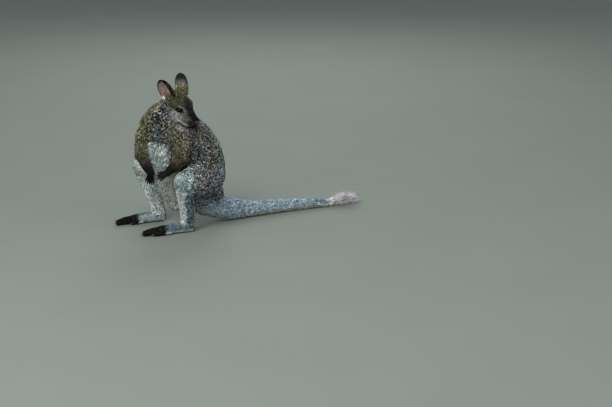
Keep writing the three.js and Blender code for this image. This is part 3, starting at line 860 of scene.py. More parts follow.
# Display colours of the coat.
GRIZZLE = paint(117, 119, 116)
SADDLE = paint(114, 107, 82)
MAUVE = paint(134, 127, 136)
# DUSK also serves as the painted shade between the arms and the flank.
DUSK = paint(56, 58, 68)
OLIVE = paint(115, 113, 86)
BROWN = paint(84, 78, 58)
BUFF = paint(170, 166, 148)
PALE = paint(214, 226, 222)
SILVER = paint(154, 174, 183)
SLATE = paint(106, 122, 130)
KNEE = paint(182, 206, 206)
HEEL = paint(176, 178, 190)
BLACK = paint(16, 15, 16)
WHITE = paint(238, 236, 230)
THROAT = paint(106, 111, 107)
CREAM = paint(200, 196, 168)
CHEEK = paint(146, 144, 142)
CROWN = paint(79, 76, 56)
BRIDGE = paint(32, 31, 26)
EAR_BACK = paint(104, 103, 82)
ROSE = paint(242, 214, 238)
RUST = paint(140, 106, 88)
SOLE = paint(50, 44, 42)
GROIN = paint(240, 240, 226)
SKIN_PINK = paint(134, 112, 104)


NEAR_LIMB = 30  # a limb's own marks reach this far from it


def spread_out(colour, points):
    """One colour for every point."""
    return np.broadcast_to(colour, (len(points), 3)).copy()


def limb_share(name, points):
    """Share along a limb's tube, and nothing for points far from it."""
    tube = TUBES[name]
    share, _, _ = tube.round_about(points)
    return np.where(tube.distance(points) < 40, share, 0)


def limb_about(name, points):
    """Where points are about a limb's tube: the share along it, the parts of the direction to the
    animal's middle and to the front, and whether they are near it."""
    tube = TUBES[name]
    share, across, rise = tube.round_about(points)
    return share, -across * SIDES[name.rsplit("_", 1)[1]], rise, tube.distance(points) < NEAR_LIMB


def arm_shade_and_dark_coat(points):
    """A share that is 1 close to an arm and 0 further off: where the flank is darker, partly in the coat's
    own colour and partly as painted shade between arm and flank.
    """
    gap = np.full(len(points), FAR)
    for name in SIDES:
        for part in ("upper_arm_", "forearm_"):
            gap = np.minimum(gap, TUBES[part + name].distance(points))
    return 1 - ramp(gap, 8, 36)


def flank_colour(points):
    """Grizzled grey that drifts slowly between olive and mauve, and turns slate low down."""
    colour = spread_out(GRIZZLE, points)
    colour = mixed(colour, SADDLE, 0.8 * ramp(ripple(points, 95, 31), 0.0, 0.8))
    colour = mixed(colour, MAUVE, 0.5 * ramp(ripple(points, 70, 32), 0.0, 1.0))
    colour = mixed(colour, SILVER, 0.4 * ramp(points[:, 1] - CENTRE[1], 60, 150))
    return mixed(colour, SLATE, 0.6 * (1 - ramp(points[:, 2], 90, 190)))


def trunk_colour(points):
    """The flank's grey, browner along the spine, olive on the shoulders and darker behind the arms, partly
    the coat's own colour and partly painted shade.
    """
    share, _, rise = TUBES["trunk"].round_about(points)
    colour = flank_colour(points)
    colour = mixed(colour, SADDLE, 0.5 * ramp(rise, 0.5, 1.0) * ramp(share, 0.1, 0.5))
    # Darker towards DUSK close to the arms: partly the coat's own colour, partly painted shade between arm
    # and flank.
    colour = mixed(colour, DUSK, 0.9 * arm_shade_and_dark_coat(points) * (1 - ramp(share, 0.74, 0.86)))
    return mixed(colour, OLIVE, 0.8 * ramp(share, 0.78, 0.98))


def belly_colour(points):
    """The throat's grey above, a pale patch down the chest and buff grey below it."""
    share, across, rise = TUBES["belly"].round_about(points)
    front = ramp(rise, -0.1, 0.5)
    ragged = share + 0.02 * ripple(points, 13, 33)
    patch = front * ramp(ragged, 0.14, 0.21) * (1 - ramp(np.abs(across), 0.7, 0.98))
    colour = mixed(spread_out(GRIZZLE, points), BUFF, ramp(rise, -0.5, 0.1) * ramp(share, 0.45, 0.6))
    upper = mixed(spread_out(THROAT, points), OLIVE, ramp(np.abs(across), 0.45, 0.75))
    colour = mixed(colour, upper, 1 - ramp(share, 0.12, 0.24))
    colour = mixed(colour, PALE, 0.85 * patch * (1 - 0.3 * ramp(share, 0.52, 0.8)))
    return mixed(colour, GROIN, ramp(rise, -0.7, -0.1) * ramp(share, 0.5, 0.68))


def neck_colour(points):
    """Grizzled grey on the throat and olive on the nape and shoulders, parted by a cream line."""
    share, across, rise = TUBES["neck"].round_about(points)
    colour = mixed(spread_out(OLIVE, points), CROWN, 0.5 * ramp(share, 0.7, 1.1))
    round_from_throat = np.degrees(np.arctan2(np.abs(across), -rise)) + 7 * ripple(points, 22, 35)
    edge = np.interp(share, [0.0, 0.6, 0.8, 1.1], [48, 68, 92, 118])
    colour = mixed(colour, THROAT, 1 - ramp(round_from_throat, edge - 8, edge + 4))
    line = bell(round_from_throat - edge - 5, 8) * ramp(share, 0.35, 0.6)
    return mixed(colour, CREAM, 0.6 * line)


def upper_arm_colour(points):
    """Olive in brown patches, with a buff strip down the outside, and browner towards the elbow."""
    colour = mixed(spread_out(OLIVE, points), BROWN, 0.55 * ramp(ripple(points, 24, 11), -0.2, 0.9))
    for name in SIDES:
        _, inner, _, near = limb_about("upper_arm_" + name, points)
        strip = ramp(-inner, 0.3, 0.6) * (1 - ramp(-inner, 0.8, 1.0))
        colour = mixed(colour, BUFF, 0.5 * strip * near)
    low = np.maximum(*(limb_share("upper_arm_" + name, points) for name in SIDES))
    return mixed(colour, BROWN, 0.8 * ramp(low, 0.7, 1.05))


def forearm_colour(points):
    """Dark brown that turns black well before the wrist."""
    share = np.maximum(*(limb_share("forearm_" + name, points) for name in SIDES))
    return mixed(spread_out(BROWN, points), BLACK, 0.05 + 0.95 * ramp(share, 0.1, 0.7))


def thigh_colour(points):
    """The flank's grey, pale in front of the knee."""
    colour = flank_colour(points)
    for name in SIDES:
        share, inner, rise, near = limb_about("thigh_" + name, points)
        ragged = share + 0.05 * ripple(points, 18, 42)
        colour = mixed(colour, KNEE, 0.9 * ramp(ragged, 0.5, 0.92) * ramp(-rise, -1.2, -0.4) * near)
        colour = mixed(colour, PALE, ramp(ragged, 0.3, 0.65) * ramp(inner, -0.2, 0.5) * near)
    return colour


def shin_colour(points):
    """A narrow pale front edge, slate sides and a paler back above the heel."""
    colour = spread_out(SLATE, points)
    for name in SIDES:
        share, inner, rise, near = limb_about("shin_" + name, points)
        edge = rise + 0.12 * ripple(points, 20, 41)
        knee = 0.35 * (1 - ramp(share, 0.1, 0.4))
        colour = mixed(colour, PALE, ramp(edge + knee, 0.1, 0.5) * near)
        colour = mixed(colour, PALE, 0.95 * ramp(inner, -0.2, 0.4) * near)
        colour = mixed(colour, HEEL, 0.8 * ramp(-edge, 0.55, 0.9) * ramp(share, 0.3, 0.8) * near)
        colour = mixed(colour, WHITE, 0.8 * ramp(edge, 0.45, 0.8) * ramp(share, 0.2, 0.5) * near)
    return colour


def foot_colour(points):
    """Slate with a pale rim above the sole, black over the front half, and dark underneath."""
    colour = spread_out(SLATE, points)
    height = points[:, 2]
    colour = mixed(colour, PALE, 0.7 * ramp(height, 3, 7) * (1 - ramp(height, 10, 20)))
    for name in SIDES:
        heel, forward, out = foot_axes(name)
        offset = points - heel - CENTRE
        along, across = offset @ forward, offset @ out
        here = np.abs(across) < 50
        edge = 110 + 5 * ripple(points, 16, 21)
        colour = mixed(colour, PALE, 0.5 * here * ramp(-across, 4, 14) * ramp(height, 10, 20))
        colour = mixed(colour, BLACK, here * ramp(along, edge - 5, edge + 5))
    return mixed(colour, SOLE, 1 - ramp(height, 1.5, 4.5))


def tail_colour(points):
    """Silver grey, darker above the root, buff below it, rosy white on the tip and rust beneath."""
    share, _, rise = TUBES["tail"].round_about(points)
    colour = mixed(spread_out(SILVER, points), flank_colour(points), 1 - ramp(share, 0.02, 0.16))
    colour = mixed(colour, BUFF, 0.6 * ramp(-rise, 0.2, 0.9) * (1 - ramp(share, 0.1, 0.3)))
    colour = mixed(colour, BUFF, 0.7 * ramp(-rise, 0.0, 0.6) * ramp(share, 0.2, 0.5))
    colour = mixed(colour, DUSK, 0.3 * bell(share - 0.74, 0.05) * ramp(rise, -0.2, 0.3))
    tip = ramp(share + 0.012 * ripple(points, 9, 36), 0.76, 0.8)
    rosy = mixed(spread_out(WHITE, points), ROSE, ramp(share, 0.8, 0.88))
    colour = mixed(colour, rosy, tip * ramp(rise, -0.5, 0.0))
    return mixed(colour, RUST, 0.85 * tip * ramp(-rise, 0.1, 0.5))


def head_colour(points):
    """Grey cheeks under an olive brown crown, a black muzzle and bridge, a pale spot above the eye, a
    white line along the upper lip and black lids."""
    back, side, up = head_place(points)
    out = np.abs(side)
    colour = spread_out(CHEEK, points)
    colour = mixed(colour, THROAT, ramp(back, 96, 130))
    crown_edge = np.interp(back, [30, 70, 100, 150], [10, 15, 9, 4])
    colour = mixed(colour, CROWN, ramp(up, crown_edge - 8, crown_edge + 8) * ramp(back, 40, 60))
    colour = mixed(colour, SADDLE, 0.5 * ramp(back, 92, 112) * ramp(up, -2, 12) * (1 - ramp(up, 22, 36)))
    brow_edge = np.interp(back, [20, 60, 80, 105], [13, 12, 8, 2])
    bridge = (1 - ramp(out, brow_edge, brow_edge + 13)) * ramp(up, 2, 14) * (1 - ramp(back, 76, 108))
    colour = mixed(colour, BRIDGE, 0.85 * bridge)
    # The outer edge of each brow is dark, and shows as a dark line from the other side.
    colour = mixed(colour, BLACK, 0.6 * ramp(out, 20, 30) * ramp(up, 38, 46) * (1 - ramp(back, 88, 100)))
    dusk_end = np.interp(up, [-40, -15, 5, 15], [44, 62, 76, 84])
    dusk = 1 - ramp(back, dusk_end - 58, dusk_end + 4)
    colour = mixed(colour, BLACK, 0.95 * dusk * ramp(up, -38, -20))
    chin = (1 - ramp(back, 18, 40)) * ramp(-up, 18, 26)
    colour = mixed(colour, BLACK, 0.8 * chin)
    gap, share = mouth_gap(points)
    stripe = bell(gap - 5.8, 4.6) * (gap > 0.5) * ramp(back, 26, 34) * (1 - ramp(back, 56, 70)) * (up < 0)
    colour = mixed(colour, WHITE, stripe)
    colour = mixed(colour, BLACK, bell(gap + 1.6, 3.2) * share)
    for name in SIDES:
        away, spread, along, rise = eye_place(points, name)
        here = away > -4
        brow = bell(along, 11) * bell(rise - 13.0 + 0.02 * along**2, 2.1)
        colour = mixed(colour, PALE, 0.6 * here * brow)
        under = bell(along + 2, 11) * bell(rise + 13, 3.5)
        colour = mixed(colour, PALE, 0.4 * here * under)
        front_spot = bell(along - 19, 5) * bell(rise - 1, 5)
        colour = mixed(colour, CHEEK, 0.7 * here * front_spot)
        colour = mixed(colour, BLACK, here * (1 - ramp(spread, 1.22, 1.5)))
    return colour


def hand_colour(points):
    """Black."""
    return spread_out(BLACK, points) * 0.5


COLOURS = {
    "trunk": trunk_colour,
    "belly": belly_colour,
    "neck": neck_colour,
    "thigh": thigh_colour,
    "upper_arm": upper_arm_colour,
    "forearm": forearm_colour,
    "hand": hand_colour,
    "shin": shin_colour,
    "foot": foot_colour,
    "tail": tail_colour,
    "head": head_colour,
}


def marks(points, kinds):
    """The coat's colour: each kind's own, blended by its share."""
    total = np.zeros((len(points), 3))
    for kind, share in kinds.items():
        used = share > 0.004
        if used.any():
            total[used] += share[used][:, None] * COLOURS[kind](points[used])
    return total


# -------------------------------------------------------------------------------------- meshes and pieces
def mesh_piece(name, vertices, faces, material, slot, colours=None, uv=None, flecks=None):
    """An object from vertices in millimetres and triangles, shaded smooth. Each vertex may have a
    colour, kept as the attribute Marks, a place on the map OFBake, and a strength of the coat's
    flecks, kept as the attribute Flecks."""
    mesh = bpy.data.meshes.new(name)
    faces = np.ascontiguousarray(faces, np.int32)
    mesh.vertices.add(len(vertices))
    mesh.vertices.foreach_set("co", (np.asarray(vertices) * MM).astype(np.float32).ravel())
    mesh.loops.add(faces.size)
    mesh.loops.foreach_set("vertex_index", faces.ravel())
    mesh.polygons.add(len(faces))
    mesh.polygons.foreach_set("loop_start", np.arange(0, faces.size, 3, dtype=np.int32))
    mesh.polygons.foreach_set("use_smooth", np.ones(len(faces), bool))
    if colours is not None:
        opaque = np.c_[colours, np.ones(len(colours))].astype(np.float32)
        marks_layer = mesh.color_attributes.new("Marks", "FLOAT_COLOR", "POINT")
        marks_layer.data.foreach_set("color", opaque.ravel())
    if flecks is not None:
        flecks_layer = mesh.attributes.new("Flecks", "FLOAT", "POINT")
        flecks_layer.data.foreach_set("value", flecks.astype(np.float32))
    if uv is not None:
        map_layer = mesh.uv_layers.new(name="OFBake")
        map_layer.data.foreach_set("uv", uv[faces.ravel()].astype(np.float32).ravel())
    mesh.update(calc_edges=True)
    mesh.materials.append(material)
    piece = bpy.data.objects.new(name, mesh)
    bpy.context.scene.collection.objects.link(piece)
    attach(piece, "root")
    return piece


PATCH = 0.003  # size of a tuft's place on the map
# Corners of a tuft's section: shares of its width across it and above it.
LOCK_CORNERS = [(-0.5, -0.16), (0.5, -0.16), (0.0, 0.3)]


def lock_faces(count, curved):
    """Triangles of a number of tufts. A straight one has a root triangle and a tip, and a curved one
    another triangle half way."""
    k = np.arange(3)
    onwards = (k + 1) % 3
    parts = [np.array([[2, 1, 0]])]
    if curved:
        parts.append(np.stack([k, onwards, onwards + 3], 1))
        parts.append(np.stack([k, onwards + 3, k + 3], 1))
    last = 3 if curved else 0
    parts.append(np.stack([k + last, onwards + last, np.full(3, last + 3)], 1))
    one = np.vstack(parts)
    size = last + 4
    return (one[None] + size * np.arange(count)[:, None, None]).reshape(-1, 3)


def locks(hair, curved):
    """Vertices, triangles, colours, map places and flecks of tufts. Each is a flat three-sided spike: it
    leaves the skin at its lift, bends down to lie along the body, and narrows to a point."""
    place, normal, way = hair["place"], hair["normal"], hair["way"]
    across = np.cross(normal, way)
    length, width, lift = hair["length"], hair["width"], hair["lift"]
    first = way * np.cos(lift)[:, None] + normal * np.sin(lift)[:, None]
    second = way * np.cos(0.35 * lift)[:, None] + normal * np.sin(0.35 * lift)[:, None]
    root = place - normal * hair["sink"]
    middle = root + first * (0.5 * length)[:, None]
    tip = middle + second * (0.5 * length)[:, None] + hair["pull"]

    def ring(centre, heading, size):
        above = unit(np.cross(heading, across))
        return [
            centre + (a * size)[:, None] * across + (b * size)[:, None] * above for a, b in LOCK_CORNERS
        ]

    corners = ring(root, first, width)
    # Each tuft is darker at its root: the hair's own darker base and painted shade deep in the coat.
    colours = [hair["colour"] * hair["root_shade"][:, None]] * 3
    patch = [(-1, -1), (1, -1), (0, -1)]
    if curved:
        corners += ring(middle, unit(first + second), 0.8 * width)
        colours += [hair["colour"]] * 3
        patch += [(-1, 0), (1, 0), (0, 0)]
    vertices = np.stack(corners + [tip], 1)
    colours = np.stack(colours + [hair["tip_colour"]], 1)
    uv = hair["uv"][:, None] + np.array(patch + [(0, 1)]) * PATCH / 2
    flecks = np.repeat(hair["flecks"], vertices.shape[1])
    faces = lock_faces(len(place), curved)
    return vertices.reshape(-1, 3), faces, colours.reshape(-1, 3), uv.reshape(-1, 2), flecks


def unwrapped(points, names):
    """Places on a map of several tubes, each unrolled in its own tile: the angle round its line one
    way and the share along it the other way."""
    names = list(names)
    tiles = math.ceil(math.sqrt(len(names)))
    away = np.stack([TUBES[name].distance(points) for name in names], 1)
    owner = away.argmin(1)
    uv = np.zeros((len(points), 2))
    for number, name in enumerate(names):
        mine = owner == number
        if not mine.any():
            continue
        share, across, rise = TUBES[name].round_about(points[mine])
        around = np.arctan2(rise, across) / (2 * math.pi) + 0.5
        along = np.clip(0.2 + 0.6 * share, 0, 1)
        row, column = divmod(number, tiles)
        uv[mine, 0] = (column + 0.04 + 0.92 * around) / tiles
        uv[mine, 1] = (row + 0.04 + 0.92 * along) / tiles
    return uv


def sampled(vertices, triangles, normals, weight, random):
    """Points spread over the skin: each triangle gets as many as its area times the weight, a number
    of tufts to the square centimetre, with chance settling the odd share."""
    a, b, c = (vertices[triangles[:, k]] for k in range(3))
    area = 0.5 * np.linalg.norm(np.cross(b - a, c - a), axis=1) / 100
    wanted = area * weight[triangles].mean(1)
    count = np.floor(wanted + random.random(len(wanted))).astype(int)
    chosen = np.repeat(np.arange(len(triangles)), count)
    u, v = random.random((2, len(chosen), 1))
    u, v = np.where(u + v > 1, 1 - u, u), np.where(u + v > 1, 1 - v, v)
    corner = triangles[chosen]
    place = a[chosen] * (1 - u - v) + b[chosen] * u + c[chosen] * v
    normal = normals[corner[:, 0]] * (1 - u - v) + normals[corner[:, 1]] * u + normals[corner[:, 2]] * v
    return place, unit(normal)


# A cell's number is the fraction left of a large multiple of the sine of its place times these.
SCATTER, SCATTER_SIZE = [12.9898, 78.233, 37.719], 43758.5453


def clumps(points, size, seed):
    """The middle of the clump that each point belongs to, and a number of 0 to 1 for that clump. Clumps
    are the cells of a lattice bent by slow ripples."""
    bend = np.stack([ripple(points, 3.1 * size, seed + axis) for axis in range(3)], 1)
    bent = points + 0.45 * size * bend
    cell = np.floor(bent / size)
    number = np.abs(np.sin(cell @ SCATTER + seed) * SCATTER_SIZE) % 1
    return points + (cell + 0.5) * size - bent, number


def bare_share(points):
    """Where no hair grows: on the lids and eyes, in the mouth's groove and under the nose pad."""
    back, side, up = head_place(points)
    gap, share = mouth_gap(points)
    bare = (np.abs(gap) < 1.1) & (share > 0.3)
    pad = ((side / 11) ** 2 + ((up - NOSE["up"]) / 8.5) ** 2 + ((back - NOSE["back"]) / 8) ** 2) < 1
    bare |= pad
    for name in SIDES:
        away, spread, _, _ = eye_place(points, name)
        bare |= (away > 0) & (spread < 1.18)
    return bare


def head_shape(points):
    """How the head's hair shortens towards the nose and about the eyes: its share of the full length."""
    back, _, _ = head_place(points)
    share = np.interp(back, [0, 20, 45, 75, 110, 150], [0.24, 0.28, 0.42, 0.7, 0.95, 1.2])
    for name in SIDES:
        root, axis, _, _ = ear_axes(name)
        share = share * (0.5 + 0.5 * ramp(np.linalg.norm(points - root - 10 * axis, axis=1), 22, 42))
        away, spread, _, _ = eye_place(points, name)
        share = share * np.where(away > 0, 0.45 + 0.55 * ramp(spread, 1.1, 2.4), 1)
    return share


def tail_shape(points):
    """Factors for the length, lift and width of the tail's hair. At its tip it is long and fine and
    stands up on the upper side, and the very last of it is short."""
    share, _, rise = TUBES["tail"].round_about(points)
    tip = ramp(share, 0.76, 0.83)
    end = ramp(share, 0.93, 1.0)
    length = (1 + 2.0 * tip * ramp(rise, -0.2, 0.4) * (1 - end)) * (1 - 0.5 * end)
    return length, 1 + 1.6 * tip * ramp(rise, -0.1, 0.5), 1 - 0.45 * tip


def smoothness(points, kinds):
    """A factor for the differences between tufts: less on the nape, the shoulders and the face, which
    are even."""
    _, across, rise = TUBES["neck"].round_about(points)
    nape = ramp(np.degrees(np.arctan2(np.abs(across), -rise)), 72, 100)
    shoulder = ramp(TUBES["trunk"].round_about(points)[0], 0.55, 0.85)
    back, _, up = head_place(points)
    face = np.maximum(1 - ramp(back, 55, 120), 0.6 * (1 - ramp(up, -10, 12)))
    even = 0.7 * kinds["neck"] * nape + 0.55 * kinds["trunk"] * shoulder + 0.8 * kinds["head"] * face
    return 1 - even


def tuft_sizes(place, kinds):
    """Length, width and lift of the tufts at some roots: the table's, blended by the kinds' shares,
    times the factors for the head and the tail."""
    length, width, lift = (blended(kinds, what) for what in ("length", "width", "lift"))
    head, tail = kinds["head"], kinds["tail"]
    shape = head_shape(place)
    longer, steeper, thinner = tail_shape(place)
    length = length * (1 + head * (shape - 1)) * (1 + tail * (longer - 1))
    width = width * (1 + head * (0.45 + 0.55 * shape - 1)) * (1 + tail * (thinner - 1))
    return length, width, lift * (1 + tail * (steeper - 1))


def gathered(place, normal, way, length, head, bristle):
    """How far the tip of each tuft is pulled to the middle of its clump, and a number of 0 to 1 for its
    shade. Tufts whose visible parts lie together share a shade, which gives the coat its fine grain."""
    middle, _ = clumps(place, 7.5, 5)
    spike, spike_number = clumps(place, 8.0, 3)
    pull = mixed(middle, spike, bristle) - place
    gather = (0.35 + 0.45 * bristle) * np.minimum(length / 18, 1.1)
    pull = gather[:, None] * (pull - normal * dot(pull, normal)[:, None])
    seen = place + way * (0.7 * length)[:, None]
    _, number = clumps(seen, 4.3, 9)
    _, fine_number = clumps(seen, 3.0, 12)
    number = number + (fine_number - number) * head
    return pull, number + (spike_number - number) * bristle


def grown(place, normal, random):
    """Everything that the tufts at some roots need: their way, length, width, lift, colours and the
    pull of their clump."""
    weights = shares(place)
    kinds = kind_shares(weights)
    tail = kinds["tail"]
    length, width, lift = tuft_sizes(place, kinds)
    way = ruffled(lie_of(place, normal, weights), normal, 0.13, random)
    bristle = tail * ramp(TUBES["tail"].round_about(place)[0], 0.76, 0.8)
    pull, number = gathered(place, normal, way, length, kinds["head"], bristle)
    count = len(place)
    base = marks(place, kinds)
    pale = ramp(base.mean(1), 0.22, 0.6)
    speckle = blended(kinds, "speckle")
    speckle = speckle + 0.8 * kinds["belly"] * ramp(place[:, 2], 340, 365) + 0.9 * bristle
    speckle = speckle * smoothness(place, kinds)
    speckle = speckle * (1 - 0.45 * pale * (kinds["thigh"] + 0.6 * kinds["shin"]))
    own = 0.28 * random.normal(size=count)
    shared = (0.35 + 0.5 * bristle) * (2 * number - 1 + 0.5 * bristle)
    tint = np.exp(speckle * (own + shared))
    flecks = 0.85 * speckle * (1 - bristle) * (1 - 0.65 * pale * (1 - 0.3 * kinds["shin"])) + 0.01
    # Both kinds of difference brighten the coat on the whole, by these factors, and are set off here.
    tint *= np.exp(-0.08 * speckle**2)
    tint /= 0.6 * np.cosh(flecks) + 0.4 * np.sinh(flecks) / flecks
    colour = np.clip(base * tint[:, None], 0, BRIGHTEST)
    # Some hairs have pale tips and some dark ones.
    kind = random.random(count)[:, None]
    strength = np.clip(speckle, 0, 0.7)[:, None]
    pale_tip = colour + (0.7 * colour + 0.05) * strength
    dark_tip = colour * (1 - 0.75 * strength)
    tip_colour = np.where(kind < 0.34, pale_tip, np.where(kind > 0.66, dark_tip, colour))
    return {
        "place": place,
        "normal": normal,
        "way": way,
        "length": length * random.uniform(0.7, 1.25, count),
        "width": width * random.uniform(0.75, 1.25, count),
        "lift": np.radians(lift * random.uniform(0.55, 1.35, count) + 4 * ripple(place, 24, 8)),
        "sink": 0.8,
        "pull": pull,
        "colour": colour,
        "tip_colour": np.clip(tip_colour, 0, BRIGHTEST),
        # At the tail's tip the roots are painted darker among the bristles, as shade in the gaps, and
        # lighter under pale hair.
        "root_shade": ROOT_SHADE - 0.25 * bristle + 0.35 * pale * tail,
        "flecks": flecks,
    }


# The coat's pieces: the tubes that each covers, the part along them, its slot and whether its tufts are
# curved.
WHOLE = (-math.inf, math.inf)
COAT_PIECES = {
    "coat_back": (["trunk"], (0.5, math.inf), "body_fur", True),
    "coat_rump": (["trunk"], (-math.inf, 0.5), "body_fur", True),
    "coat_belly": (["belly"], WHOLE, "body_fur", True),
    "coat_neck": (["neck"], WHOLE, "neck_fur", True),
    "coat_thigh_left": (["thigh_left"], WHOLE, "body_fur", True),
    "coat_thigh_right": (["thigh_right"], WHOLE, "body_fur", True),
    "coat_arm_left": (["upper_arm_left", "forearm_left"], WHOLE, "neck_fur", True),
    "coat_arm_right": (["upper_arm_right", "forearm_right"], WHOLE, "neck_fur", True),
    "coat_shins": (["shin_left", "shin_right"], WHOLE, "leg_fur", True),
    "coat_foot_left": ([f"{toe}_left" for toe in FOOT], WHOLE, "leg_fur", False),
    "coat_foot_right": ([f"{toe}_right" for toe in FOOT], WHOLE, "leg_fur", False),
    "coat_tail_root": (["tail"], (-math.inf, 0.42), "tail_fur", True),
    "coat_tail_end": (["tail"], (0.42, math.inf), "tail_fur", True),
    "coat_head": (["head"], WHOLE, "face_fur", False),
}


# --------------------------------------------------------------------------------------------- finishes
def new_material(name):
    """A material with its node tree, its shader and a function that adds a node to it."""
    made = bpy.data.materials.new(name)
    made.use_nodes = True
    tree = made.node_tree
    shader = tree.nodes["Principled BSDF"]

    def node(kind, inputs=None, **settings):
        added = tree.nodes.new(kind)
        for key, value in settings.items():
            setattr(added, key, value)
        for key, value in (inputs or {}).items():
            if isinstance(value, bpy.types.NodeSocket):
                tree.links.new(value, added.inputs[key])
            else:
                added.inputs[key].default_value = value
        return added

    return made, tree, shader, node


def set_sockets(shader, **values):
    """Sets numbers on the shader's own sockets, with _ for the spaces in their names."""
    for key, value in values.items():
        shader.inputs[key.replace("_", " ")].default_value = value


def blotched(node, place, scale, detail, low, high):
    """Two colours mixed by noise."""
    noise = node("ShaderNodeTexNoise", {"Vector": place, "Scale": scale, "Detail": detail})
    mix = node("ShaderNodeMix", {"Factor": noise.outputs["Fac"]}, data_type="RGBA")
    mix.inputs["A"].default_value = (*low, 1)
    mix.inputs["B"].default_value = (*high, 1)
    return mix.outputs["Result"]


FLECKS_TO_THE_METRE = 240.0


def marked_finish(name, roughness, sheen, grain, depth):
    """Hair or skin in the colours of its Marks, mottled by two sizes of noise and by flecks as strong
    as its Flecks, with a fine bump."""
    made, tree, shader, node = new_material(name)
    place = node("ShaderNodeTexCoord").outputs["Object"]
    mottle = node("ShaderNodeTexNoise", {"Vector": place, "Scale": 260.0, "Detail": 3.0})
    patches = node("ShaderNodeTexNoise", {"Vector": place, "Scale": 34.0, "Detail": 2.0})
    fine = node("ShaderNodeMapRange", {"Value": mottle.outputs["Fac"], "To Min": 0.74, "To Max": 1.26})
    broad = node("ShaderNodeMapRange", {"Value": patches.outputs["Fac"], "To Min": 0.86, "To Max": 1.14})
    both = node("ShaderNodeMath", {0: fine.outputs[0], 1: broad.outputs[0]}, operation="MULTIPLY")
    marks_colour = node("ShaderNodeAttribute", attribute_name="Marks").outputs["Color"]
    # Light and dark flecks: e to the power of the strength times a number of -1 to 1 for each cell.
    cells = node("ShaderNodeTexVoronoi", {"Vector": place, "Scale": FLECKS_TO_THE_METRE})
    shade = node("ShaderNodeSeparateColor", {"Color": cells.outputs["Color"]}).outputs[0]
    ends = {"Value": shade, "From Min": 0.3, "From Max": 0.7, "To Min": -1.0, "To Max": 1.0}
    level = node("ShaderNodeMapRange", ends).outputs[0]
    strength = node("ShaderNodeAttribute", attribute_name="Flecks").outputs["Fac"]
    power = node("ShaderNodeMath", {0: level, 1: strength}, operation="MULTIPLY").outputs[0]
    flecked = node("ShaderNodeMath", {0: math.e, 1: power}, operation="POWER").outputs[0]
    brightness = node("ShaderNodeMath", {0: both.outputs[0], 1: flecked}, operation="MULTIPLY").outputs[0]
    tinted = node("ShaderNodeVectorMath", {0: marks_colour, 1: brightness}, operation="MULTIPLY")
    tree.links.new(tinted.outputs[0], shader.inputs["Base Color"])
    strands = node("ShaderNodeTexNoise", {"Vector": place, "Scale": grain, "Detail": 4.0})
    bump = node("ShaderNodeBump", {"Height": strands.outputs["Fac"], "Distance": depth, "Strength": 0.6})
    tree.links.new(bump.outputs[0], shader.inputs["Normal"])
    set_sockets(shader, Roughness=roughness, Specular_IOR_Level=0.05)
    set_sockets(shader, Sheen_Weight=sheen, Sheen_Roughness=0.5)
    return made


def hard_finish(name, low, high, roughness, pebble, depth, coat, stretch=(1, 1, 1)):
    """Nose leather or horn: two colours mixed by noise, a bump of so many pebbles to the metre and a
    gloss, with the pattern stretched along an axis by a number below 1."""
    made, tree, shader, node = new_material(name)
    place = node("ShaderNodeTexCoord").outputs["Object"]
    turned = node("ShaderNodeMapping", {"Vector": place, "Scale": stretch}).outputs[0]
    tree.links.new(blotched(node, turned, 220.0, 5.0, low, high), shader.inputs["Base Color"])
    cells = node("ShaderNodeTexVoronoi", {"Vector": turned, "Scale": pebble})
    bump = node("ShaderNodeBump", {"Height": cells.outputs["Distance"], "Distance": depth, "Strength": 0.5})
    tree.links.new(bump.outputs[0], shader.inputs["Normal"])
    set_sockets(shader, Roughness=roughness, Coat_Weight=coat, Coat_Roughness=0.08)
    return made


def eye_finish():
    """The eye's painted rings under a wet clear coat, with fine fibres in the iris."""
    made, tree, shader, node = new_material("wet_eye")
    place = node("ShaderNodeTexCoord").outputs["Object"]
    fibres = node("ShaderNodeTexNoise", {"Vector": place, "Scale": 900.0, "Detail": 4.0})
    ends = {"Value": fibres.outputs["Fac"], "To Min": 0.6, "To Max": 1.4}
    shade = node("ShaderNodeMapRange", ends).outputs[0]
    marks_colour = node("ShaderNodeAttribute", attribute_name="Marks").outputs["Color"]
    tinted = node("ShaderNodeVectorMath", {0: marks_colour, 1: shade}, operation="MULTIPLY")
    tree.links.new(tinted.outputs[0], shader.inputs["Base Color"])
    set_sockets(shader, Roughness=0.35, Specular_IOR_Level=0.1, Coat_Weight=0.25, Coat_Roughness=0.03)
    return made


FINISHES = {
    "skin": marked_finish("skin_under_the_coat", roughness=0.85, sheen=0.0, grain=700.0, depth=0.0006),
    "coat": marked_finish("body_coat", roughness=0.75, sheen=0.05, grain=1500.0, depth=0.0002),
    "face": marked_finish("short_face_coat", roughness=0.7, sheen=0.03, grain=2200.0, depth=0.0001),
    "eye": eye_finish(),
    "nose": hard_finish(
        "nose_leather",
        paint(11, 11, 13),
        paint(26, 26, 30),
        roughness=0.36,
        pebble=900.0,
        depth=0.0004,
        coat=0.4,
    ),
    "claw": hard_finish(
        "claw_horn",
        paint(30, 26, 24),
        paint(74, 64, 56),
        roughness=0.36,
        pebble=300.0,
        depth=0.0001,
        coat=0.3,
        stretch=(1, 0.25, 1),
    ),
}


# ---------------------------------------------------------------------------------- eyes, nose and claws
def globe(rows, columns):
    """Directions of a closed ball as rings about its pole: the angle from the pole and round it."""
    polar = np.linspace(0, math.pi, rows + 2)[1:-1, None] * np.ones(columns)
    around = np.ones(rows)[:, None] * np.linspace(0, 2 * math.pi, columns, endpoint=False)
    return polar, around


EYEBALL = {"sunk": 0.5, "swelling": 0.035, "swelling_wide": 0.62, "iris": (6.0, 8.4), "pupil": (4.6, 3.0)}


